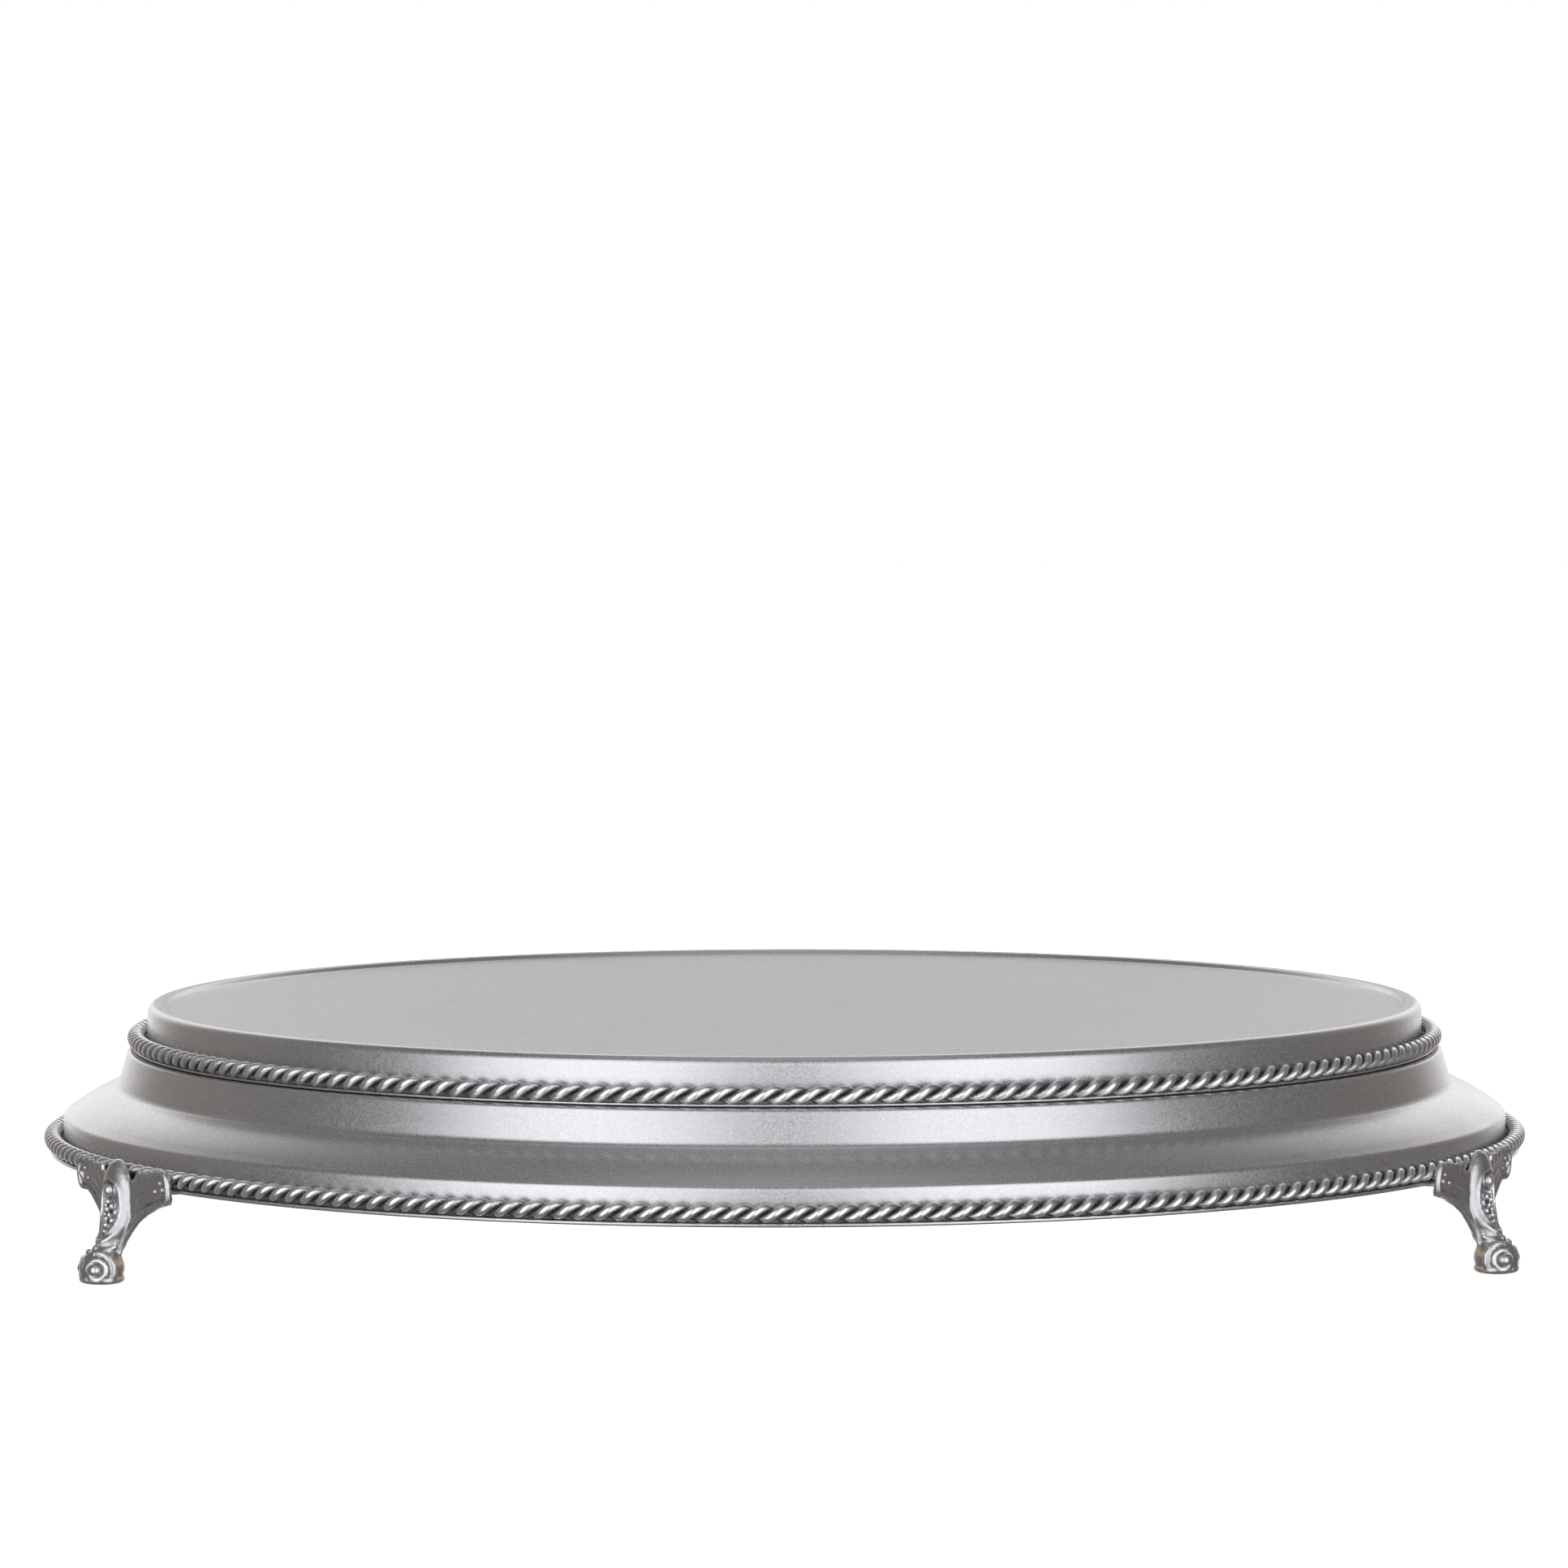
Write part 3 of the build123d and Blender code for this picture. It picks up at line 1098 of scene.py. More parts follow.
@dataclass
class Casting:
    """A signed distance field in millimetres, which a casting's mesh is drawn from.

    The field's axes are s, sideways along the rim, n, outwards from the back of the wings,
    and z, upwards.  Negative values are inside the metal.

    Attributes:
        low: Lowest corner of the field.
        high: Highest corner of the field.
        step: Distance between samples.
        far: The distance that a sample with no metal near it holds.
        margin: How far round a shape its distances are worked out.
    """

    low: tuple[float, float, float]
    high: tuple[float, float, float]
    step: float
    far: float = 9.0
    margin: float = 1.5

    def __post_init__(self) -> None:
        """Lay out the samples, all outside the metal."""
        counts = [int((b - a) / self.step) + 1 for a, b in zip(self.low, self.high)]
        axes = [a + np.arange(n) * self.step for a, n in zip(self.low, counts)]
        self.axes = axes
        self.s = axes[0][:, None, None]
        self.n = axes[1][None, :, None]
        self.z = axes[2][None, None, :]
        self.value = np.full(counts, self.far, np.float32)

    def window(self, low: tuple, high: tuple) -> tuple:
        """The samples between two corners.

        Args:
            low: Lowest corner.
            high: Highest corner.

        Returns:
            The slices, and the s, n and z of the samples in them.
        """
        slices = tuple(slice(max(0, int(np.searchsorted(axis, a))),
                             int(np.searchsorted(axis, b)) + 1)
                       for axis, a, b in zip(self.axes, low, high))
        return (slices, self.s[slices[0]], self.n[:, slices[1]], self.z[:, :, slices[2]])

    def join(self, slices: tuple, shape: np.ndarray, blend: float) -> None:
        """Add metal, with a fillet where it meets the rest.

        Args:
            slices: The samples that the shape covers.
            shape: Its distances there.
            blend: Size of the fillet.
        """
        here = self.value[slices]
        mixing = np.clip(0.5 + 0.5 * (here - shape) / blend, 0.0, 1.0)
        joined = here + (shape - here) * mixing - blend * mixing * (1.0 - mixing)
        self.value[slices] = joined

    def cut(self, slices: tuple, shape: np.ndarray, blend: float) -> None:
        """Take metal away, with a rounded edge.

        Args:
            slices: The samples that the shape covers.
            shape: Its distances there.
            blend: Size of the rounding.
        """
        here = self.value[slices]
        mixing = np.clip(0.5 - 0.5 * (here + shape) / blend, 0.0, 1.0)
        cut = here + (-shape - here) * mixing + blend * mixing * (1.0 - mixing)
        self.value[slices] = cut

    def ball(self, centre: tuple, radii: tuple, blend: float, cut: bool = False) -> None:
        """Add or cut an ellipsoid.

        Args:
            centre: Its centre.
            radii: Its half sizes along s, n and z.
            blend: Size of the fillet round it.
            cut: Whether it is taken away.
        """
        margin = self.margin + blend
        low = [c - r - margin for c, r in zip(centre, radii)]
        high = [c + r + margin for c, r in zip(centre, radii)]
        slices, s, n, z = self.window(low, high)
        terms = [(axis - c) / r for axis, c, r in zip((s, n, z), centre, radii)]
        reach = np.sqrt(terms[0] ** 2 + terms[1] ** 2 + terms[2] ** 2)
        slope = np.sqrt(sum((t / r) ** 2 for t, r in zip(terms, radii))) + 1e-6
        shape = reach * (reach - 1.0) / slope
        (self.cut if cut else self.join)(slices, shape, blend)

    def strand(self, points: list, radii: list, blend: float) -> None:
        """Add a rounded ridge that follows points.

        Args:
            points: Points of its middle line.
            radii: Its radius at each point.
            blend: Size of the fillet round it.
        """
        spots, radii = self.curved(np.column_stack((points, radii)).astype(float))
        margin = max(radii) + self.margin + blend
        slices, s, n, z = self.window(spots.min(0) - margin, spots.max(0) + margin)
        shape = None
        for index in range(len(spots) - 1):
            a, b = spots[index], spots[index + 1]
            d = b - a
            part = ((s - a[0]) * d[0] + (n - a[1]) * d[1] + (z - a[2]) * d[2]) / (d @ d)
            part = np.clip(part, 0.0, 1.0)
            gap = np.sqrt((s - a[0] - part * d[0]) ** 2 + (n - a[1] - part * d[1]) ** 2
                          + (z - a[2] - part * d[2]) ** 2)
            piece = gap - (radii[index] + (radii[index + 1] - radii[index]) * part)
            shape = piece if shape is None else np.minimum(shape, piece)
        self.join(slices, shape, blend)

    @staticmethod
    def curved(line: np.ndarray, between: int = 3) -> tuple:
        """Pass a smooth curve through points.

        Args:
            line: One row of s, n, z and radius to each point.
            between: Points put between two neighbours.

        Returns:
            The curve's points and their radii.
        """
        padded = np.vstack((2 * line[0] - line[1], line, 2 * line[-1] - line[-2]))
        rows = [line[0]]
        for index in range(len(line) - 1):
            a, b, c, d = padded[index:index + 4]
            for step in range(1, between + 2):
                t = step / (between + 1)
                rows.append(0.5 * (2 * b + (c - a) * t + (2 * a - 5 * b + 4 * c - d) * t ** 2
                                   + (3 * b - a - 3 * c + d) * t ** 3))
        rows = np.array(rows)
        return rows[:, :3], np.maximum(rows[:, 3], 0.05)

    def relief(self, points: np.ndarray, reach: int) -> np.ndarray:
        """How far each surface point stands out: 0 in a hollow, 0.5 on a flat, 1 on a ridge.

        Args:
            points: Surface points in sample numbers.
            reach: Half width in samples of the neighbourhood that is looked at.

        Returns:
            One value for each point.
        """
        metal = np.clip(0.5 - self.value / self.step * 0.5, 0.0, 1.0)
        for axis in range(3):
            for _ in range(2):
                total = np.cumsum(metal, axis)
                ahead = np.roll(total, -reach, axis)
                behind = np.roll(total, reach + 1, axis)
                metal = (ahead - behind) / (2 * reach + 1)
        spots = np.clip(np.rint(points).astype(int), 0, np.array(self.value.shape) - 1)
        filled = metal[spots[:, 0], spots[:, 1], spots[:, 2]]
        return np.clip(0.5 + (0.5 - filled) * 2.0, 0.0, 1.0)

    def surface(self) -> tuple:
        """Draw the surface where the field is zero.

        Returns:
            Its points in sample numbers, and its faces of four points each.
        """
        value = self.value
        cells = [n - 1 for n in value.shape]
        total = np.zeros((cells[0] * cells[1] * cells[2], 3))
        count = np.zeros(len(total))
        crossings = []
        for axis in range(3):
            first = np.take(value, range(value.shape[axis] - 1), axis)
            second = np.take(value, range(1, value.shape[axis]), axis)
            spots = np.argwhere((first < 0) != (second < 0))
            a = first[tuple(spots.T)]
            b = second[tuple(spots.T)]
            place = spots.astype(float)
            place[:, axis] += a / (a - b)
            corners = []
            for back_u, back_v in ((0, 0), (1, 0), (1, 1), (0, 1)):
                cell = spots.copy()
                cell[:, (axis + 1) % 3] -= back_u
                cell[:, (axis + 2) % 3] -= back_v
                number = (cell[:, 0] * cells[1] + cell[:, 1]) * cells[2] + cell[:, 2]
                np.add.at(total, number, place)
                np.add.at(count, number, 1.0)
                corners.append(number)
            faces = np.stack(corners, 1)
            faces[a > 0] = faces[a > 0][:, ::-1]
            crossings.append(faces)
        used = np.nonzero(count)[0]
        order = np.full(len(count), -1)
        order[used] = np.arange(len(used))
        points = total[used] / count[used][:, None]
        return points, order[np.concatenate(crossings)]


def soften(values: np.ndarray, faces: np.ndarray, rounds: int) -> np.ndarray:
    """Even out values over a mesh without shrinking it.

    Args:
        values: One row to each vertex.
        faces: The mesh's faces of four vertices each.
        rounds: How often it is repeated.

    Returns:
        The evened values.
    """
    share = np.zeros(len(values))
    np.add.at(share, faces.ravel(), 1.0)
    for _ in range(rounds):
        for pull in (0.55, -0.56):
            middles = values[faces].mean(1)
            total = np.zeros_like(values)
            for corner in range(4):
                np.add.at(total, faces[:, corner], middles)
            values = values + pull * (total / share[:, None] - values)
    return values


def outline_distance(corners: np.ndarray, x: np.ndarray, y: np.ndarray) -> np.ndarray:
    """Signed distance to a closed flat outline, negative inside.

    Args:
        corners: The outline's corners.
        x: First coordinate of the samples.
        y: Second coordinate of the samples.

    Returns:
        The distance of each sample.
    """
    nearest = np.full(np.broadcast(x, y).shape, 1e9)
    inside = np.zeros(nearest.shape, bool)
    for (ax, ay), (bx, by) in zip(corners, np.roll(corners, -1, 0)):
        dx, dy = bx - ax, by - ay
        part = np.clip(((x - ax) * dx + (y - ay) * dy) / (dx * dx + dy * dy), 0.0, 1.0)
        nearest = np.minimum(nearest, np.hypot(x - ax - part * dx, y - ay - part * dy))
        crosses = ((ay > y) != (by > y)) & (x < (bx - ax) * (y - ay) / (by - ay + 1e-12) + ax)
        inside ^= crosses
    return np.where(inside, -nearest, nearest)


# ---------------------------------------------------------------- claw feet


@dataclass
class ClawFoot:
    """A cast foot: leaf wings along the rim, a beaded knee, and a ball clasped by claws.

    All sizes are in millimetres.  The foot is modelled flat and then bent round the rim.

    Attributes:
        rim: Radius of the back of the wings, which n is counted from.
        step: Distance between samples of the casting field.
        lower_edge: The wing's lower edge, as s and z.
        tip: The wing's end, as s and z.
        upper_edge: The wing's upper edge, as s and z.
        leg: The leg's sections, as z, n of the middle, half width, depth in front and behind.
        panel: Half width of the sunk panel at each height, as z and s.
        panel_depth: How deep the panel is sunk.
        lip: Height of the lip round the panel.
        wing_darkening: How much darker the wash is left on the wings.
        lean: How far the wings lean in at their lower tips.
        lug_half: Half width of the lug.
        lug_low: Height of the lug's underside.
        lug_high: Height of its top, just under the flange.
        lug_back: How far it runs in, as n.
        hole: Radius of its screw holes.
        head: Radius of the screws' countersunk heads.
        hole_place: Middle of a screw hole, as s and n.
        rope_gap: How far the wings stand in behind the rim below the flange.
    """

    rim: float
    step: float = 0.34
    lower_edge: tuple = ((0.0, 9.0), (2.6, 10.6), (4.8, 13.0), (7.6, 16.0), (11.8, 19.4),
                         (16.8, 22.3), (22.5, 24.8), (28.8, 26.4))
    tip: tuple = ((30.5, 28.2), (31.0, 31.0), (30.8, 34.0), (29.6, 36.2), (27.6, 37.1))
    upper_edge: tuple = ((24.5, 36.2), (19.0, 35.3), (12.5, 34.9), (10.2, 33.2), (8.0, 32.0),
                         (0.0, 32.0))
    leg: tuple = ((8.0, 5.8, 4.9, 5.2, 4.8), (10.0, 5.2, 4.3, 4.5, 4.2),
                  (12.0, 4.2, 4.4, 4.2, 3.6), (14.0, 3.0, 5.2, 4.4, 2.9),
                  (16.0, 2.0, 6.7, 4.6, 2.0), (18.0, 1.4, 8.0, 4.6, 1.4),
                  (20.0, 0.9, 8.7, 4.6, 0.9), (24.0, 0.6, 9.0, 4.4, 0.6),
                  (28.0, 0.5, 8.8, 4.3, 0.5), (32.0, 0.5, 7.8, 4.2, 0.5),
                  (34.0, 0.4, 6.7, 3.9, 0.4), (36.0, 0.3, 5.0, 3.3, 0.3),
                  (37.2, 0.3, 3.5, 2.6, 0.3), (38.2, 0.2, 1.4, 1.2, 0.2))
    panel: tuple = ((14.0, 0.0), (15.2, 1.3), (16.6, 2.6), (18.5, 4.0), (20.5, 5.0),
                    (23.0, 5.4), (26.0, 5.3), (28.0, 4.8), (30.0, 3.8), (31.3, 2.4),
                    (32.0, 0.0))
    panel_depth: float = 0.95
    lip: float = 0.22
    wing_darkening: float = 0.10
    lean: float = 1.5
    lug_half: float = 13.2
    lug_low: float = 27.4
    lug_high: float = 30.0
    lug_back: float = -23.0
    hole: float = 2.2
    head: float = 3.75
    hole_place: tuple = (8.53, -15.2)
    rope_gap: float = 1.85

    def cast(self) -> Casting:
        """Model the foot in a casting field.

        Returns:
            The field.
        """
        field = Casting((-33.0, -24.6, -1.2), (33.0, 15.6, 40.0), self.step)
        self.wings(field)
        for side in (-1, 1):
            self.leaf(field, side)
            self.scroll(field, side)
        self.shank(field)
        self.beads(field)
        self.paw(field)
        self.lug(field)
        self.trim(field)
        return field

    def wings(self, field: Casting) -> None:
        """Model the plate of both wings, which leans in under the flange at its foot.

        Args:
            field: The casting field.
        """
        slices, s, n, z = field.window((-32, -3.0, 7), (32, 4, 39))
        corners = np.array(self.lower_edge + self.tip + self.upper_edge)
        flat = outline_distance(corners, np.abs(s), z)
        low_down = np.clip((30.5 - z) / 4.5, 0.0, 1.0)
        lean = self.lean * low_down * np.clip((np.abs(s) - 12) / 8, 0.0, 1.0)
        edge = np.clip(-flat / 0.9, 0.0, 1.0)
        front = 0.45 + 0.75 * np.sqrt(1.0 - (1.0 - edge) ** 2) - lean * 0.7
        shape = np.maximum(np.maximum(flat, (n - front) * 0.9), 0.05 - n - lean)
        field.join(slices, np.broadcast_to(shape, field.value[slices].shape), 0.3)

    @staticmethod
    def leaf(field: Casting, side: int) -> None:
        """Model the leaf on one wing: its border, its curved ribs and the lobes of its top.

        Args:
            field: The casting field.
            side: Which wing, -1 or 1.
        """
        ribs = (((28.6, -0.2, 27.3), (22.6, 0.0, 26.0), (16.9, 0.4, 23.6), (12.0, 0.7, 20.6),
                 (8.0, 1.0, 17.2), (5.2, 1.6, 13.8), (3.9, 2.4, 10.8), (3.6, 3.2, 8.0)),
                ((10.4, 0.5, 20.6), (13.0, 0.5, 24.0), (17.0, 0.4, 26.8), (22.4, 0.3, 28.4)),
                ((10.0, 0.6, 22.8), (12.0, 0.6, 27.0), (15.6, 0.6, 29.8), (20.6, 0.6, 31.2)),
                ((9.8, 0.6, 25.4), (10.9, 0.6, 29.6), (13.4, 0.6, 32.4)))
        sizes = ((0.8, 1.0, 1.05, 1.05, 1.1, 1.1, 1.0, 0.8), (0.6, 0.95, 0.9, 0.5),
                 (0.6, 0.95, 0.85, 0.5), (0.6, 0.8, 0.6))
        for line, radii in zip(ribs, sizes):
            field.strand([(a * side, n, z) for a, n, z in line], list(radii), 0.7)
        for a, z, width in ((12.9, 34.4, 1.6), (16.4, 34.2, 1.7), (20.0, 34.7, 1.7),
                            (23.4, 35.3, 1.6)):
            field.ball((a * side, 0.55, z), (width, 0.9, 1.7), 0.4)

    @staticmethod
    def scroll(field: Casting, side: int) -> None:
        """Model the rolled end of one wing, with its curl, its hollow and its beads.

        Args:
            field: The casting field.
            side: Which wing, -1 or 1.
        """
        rim = [(26.4, 0.7, 26.6), (28.8, 0.8, 27.0), (30.0, 1.0, 28.8), (30.3, 1.2, 31.4),
               (29.9, 1.3, 34.0), (28.6, 1.3, 35.8), (26.6, 1.2, 36.2), (25.2, 1.1, 35.2)]
        field.strand([(a * side, n, z) for a, n, z in rim],
                     [0.5, 0.9, 1.05, 1.05, 1.0, 0.95, 0.85, 0.6], 0.35)
        curl = [(23.0, 0.8, 28.6), (25.2, 1.0, 28.6), (26.9, 1.2, 29.6), (27.4, 1.3, 30.9)]
        field.strand([(a * side, n, z) for a, n, z in curl], [0.4, 0.6, 0.7, 0.6], 0.3)
        field.ball((25.6 * side, 1.6, 33.0), (1.3, 0.8, 1.4), 0.3, cut=True)
        field.ball((28.0 * side, 1.5, 31.2), (1.05, 0.95, 1.05), 0.4)
        field.ball((25.8 * side, 1.0, 33.0), (0.7, 0.8, 0.75), 0.2)
        field.ball((23.0 * side, 1.1, 30.2), (0.85, 0.8, 0.75), 0.3)

    def shank(self, field: Casting) -> None:
        """Model the knee and leg: a rounded hump with a sunk almond panel on its front.

        Args:
            field: The casting field.
        """
        slices, s, n, z = field.window((-10.5, -3, 7), (10.5, 12, 39))
        levels = np.array(self.leg)
        middle, half, front, back = (np.interp(z, levels[:, 0], levels[:, i])
                                     for i in (1, 2, 3, 4))
        depth = np.where(n > middle, front, back)
        power, tiny = 1.9, 1e-9
        reach = (np.abs(s / half) ** power + np.abs((n - middle) / depth) ** power
                 + tiny) ** (1 / power)
        shape = (reach - 1.0) * np.minimum(half, depth) * 0.8
        shape = np.maximum(shape, np.maximum(z - 38.2, 7.5 - z))
        outline = np.array(self.panel)
        border = np.abs(s) - np.interp(z, outline[:, 0], outline[:, 1], left=-2.0, right=-2.0)
        front_half = np.clip((n - middle) / 0.8, 0.0, 1.0)
        sunk = np.clip(0.5 - border / 1.1, 0.0, 1.0)
        sunk = sunk * sunk * (3.0 - 2.0 * sunk) * front_half
        lip = np.exp(-((border - 0.8) / 0.6) ** 2) * front_half
        field.join(slices, shape + self.panel_depth * sunk - self.lip * lip, 0.8)

    @staticmethod
    def beads(field: Casting) -> None:
        """Model the pearl and the flower in the panel, and the band and bead of the collar.

        Args:
            field: The casting field.
        """
        field.ball((0.0, 3.9, 28.8), (2.15, 2.1, 2.15), 0.25)
        flower = ((0.0, 4.5, 25.2, 1.0, 1.0), (1.9, 4.3, 23.9, 0.95, 1.05),
                  (3.2, 3.7, 22.0, 0.85, 1.25), (0.0, 4.9, 22.9, 1.0, 1.0),
                  (1.3, 4.9, 21.2, 0.8, 0.9), (2.3, 4.5, 19.5, 0.9, 1.0),
                  (0.0, 5.2, 19.9, 0.9, 0.9), (0.0, 5.5, 18.0, 0.95, 0.95),
                  (0.0, 6.0, 16.1, 0.6, 0.7))
        for a, n, z, radius, tall in flower:
            for side in ((-1, 1) if a else (1,)):
                field.ball((a * side, n, z), (radius, radius, tall), 0.45)
        for side in (-1, 1):
            band = [(4.2 * side, 4.6, 15.4), (3.0 * side, 6.2, 14.0), (1.4 * side, 7.5, 13.0),
                    (0.0, 8.0, 12.7)]
            field.strand(band, [0.7, 0.85, 0.85, 0.75], 0.5)
            collar = [(4.4 * side, 4.4, 11.6), (3.3 * side, 7.0, 10.6), (1.6 * side, 9.0, 9.6),
                      (0.0, 9.8, 9.0)]
            field.strand(collar, [0.6, 0.7, 0.7, 0.6], 0.5)
        field.ball((0.0, 8.7, 10.9), (1.4, 1.25, 1.2), 0.3)

    def paw(self, field: Casting) -> None:
        """Model the paw: a ball with an eye in each flank, clasped by crescent claws.

        Args:
            field: The casting field.
        """
        field.ball((0.0, 6.9, 4.9), (7.3, 7.1, 5.5), 1.4)
        field.ball((0.0, 6.8, 1.4), (7.2, 7.0, 2.3), 1.0)
        for side in (-1, 1):
            self.eye(field, side)
        toe = [(0.0, 10.8, 9.2), (0.0, 12.8, 7.4), (0.0, 13.3, 5.2), (0.0, 13.0, 3.6)]
        field.strand(toe, [0.6, 0.85, 0.95, 0.7], 0.6)
        field.ball((0.0, 12.9, 1.6), (2.4, 1.2, 1.1), 0.6)

    @staticmethod
    def eye(field: Casting, side: int) -> None:
        """Model the ball that shows between two claws, and the crescents round it.

        Args:
            field: The casting field.
            side: Which flank, -1 or 1.
        """
        facing = math.radians(44.0)
        out = np.array((math.sin(facing) * side, math.cos(facing), 0.0))
        along = np.array((math.cos(facing) * side, -math.sin(facing), 0.0))
        up = np.array((0.0, 0.0, 1.0))
        heart = np.array((0.0, 6.7, 4.7))
        field.ball(tuple(heart + out * 8.3), (2.9, 2.9, 2.9), 0.9, cut=True)
        field.ball(tuple(heart + out * 5.5 - along * 0.4), (2.35, 2.35, 2.1), 0.3)
        lids = (((2.9, 150, 6.1, 0.3), (2.9, 112, 6.2, 0.6), (3.1, 75, 6.2, 0.8),
                 (3.3, 35, 6.1, 0.95), (3.3, -5, 6.0, 1.0), (3.1, -45, 6.2, 0.9),
                 (2.8, -85, 6.5, 0.75), (2.7, -125, 6.5, 0.6), (2.8, -160, 6.3, 0.3)),
                ((5.1, 105, 4.6, 0.4), (5.0, 80, 4.7, 0.8), (5.0, 50, 4.6, 1.1),
                 (5.1, 20, 4.4, 1.25), (5.1, -10, 4.4, 1.2), (5.0, -38, 4.6, 0.9),
                 (4.9, -58, 4.8, 0.4)))
        for lid in lids:
            line = [tuple(heart + out * rise + along * reach * math.cos(math.radians(a))
                          + up * reach * math.sin(math.radians(a))) for reach, a, rise, _ in lid]
            field.strand(line, [radius for *_, radius in lid], 0.45)

    def lug(self, field: Casting) -> None:
        """Model the lug that runs in under the flange, with its two screw holes.

        Args:
            field: The casting field.
        """
        slices, s, n, z = field.window((-18, -25, 22), (18, 4, 32))
        shape = np.maximum(np.maximum(np.abs(s) - self.lug_half,
                                      np.maximum(self.lug_low - z, z - self.lug_high)),
                           np.maximum(self.lug_back - n, n - 0.4))
        field.join(slices, shape, 0.6)
        gusset = [(0.0, 1.2, 20.0), (0.0, -2.0, 25.0), (0.0, -6.0, 27.8)]
        field.strand(gusset, [2.0, 1.6, 1.0], 1.5)
        for side in (-1, 1):
            wall = np.maximum(self.hole, self.head - (z - self.lug_low))
            hole = np.hypot(s - side * self.hole_place[0], n - self.hole_place[1]) - wall
            field.cut(slices, np.broadcast_to(hole, field.value[slices].shape), 0.1)

    def trim(self, field: Casting) -> None:
        """Take off what would reach into the rope, the flange or the table.

        Args:
            field: The casting field.
        """
        slices, _, n, z = field.window((-34, -25, 26), (34, 3, 41))
        inside = self.rope_gap * np.clip((31.2 - z) / 1.2, 0.0, 1.0)
        behind = np.maximum(n + inside - 0.05, self.lug_high - z)
        field.cut(slices, np.broadcast_to(behind, field.value[slices].shape), 0.1)
        slices, _, _, z = field.window((-34, -25, -2), (34, 16, 2))
        field.cut(slices, np.broadcast_to(z, field.value[slices].shape), 0.3)

    def mesh(self, azimuth: float, shape: tuple) -> bpy.types.Mesh:
        """Bend the drawn surface round the rim and turn it to its place.

        Args:
            azimuth: The foot's azimuth, in degrees.
            shape: The surface's points, faces and relief values.

        Returns:
            The mesh, with the attribute relief.
        """
        points, faces, relief = shape
        swing = math.radians(azimuth) + points[:, 0] / self.rim
        reach = self.rim + points[:, 1]
        place = np.stack((reach * np.sin(swing), -reach * np.cos(swing), points[:, 2]), 1) * MM
        mesh = mesh_of("claw_foot", place.tolist(), faces.tolist())
        layer = mesh.attributes.new("relief", "FLOAT", "POINT")
        layer.data.foreach_set("value", relief.astype(np.float32))
        return mesh

    def draw(self) -> tuple:
        """Cast the foot and draw its surface once for all feet.

        Returns:
            The surface's points in millimetres, its faces and its relief values.
        """
        field = self.cast()
        spots, faces = field.surface()
        relief = field.relief(spots, 2)
        spots = soften(spots, faces, 6)
        relief = soften(relief[:, None], faces, 3)[:, 0]
        points = spots * field.step + np.array(field.low)
        # Darker wash on the wings, away from the leg, set by position alone.
        relief -= self.wing_darkening * np.clip((np.abs(points[:, 0]) - 8.5) / 2.0, 0.0, 1.0)
        points[:, 2] = np.maximum(points[:, 2], 0.0)
        return points, faces, relief


# ---------------------------------------------------------------- sub-assemblies


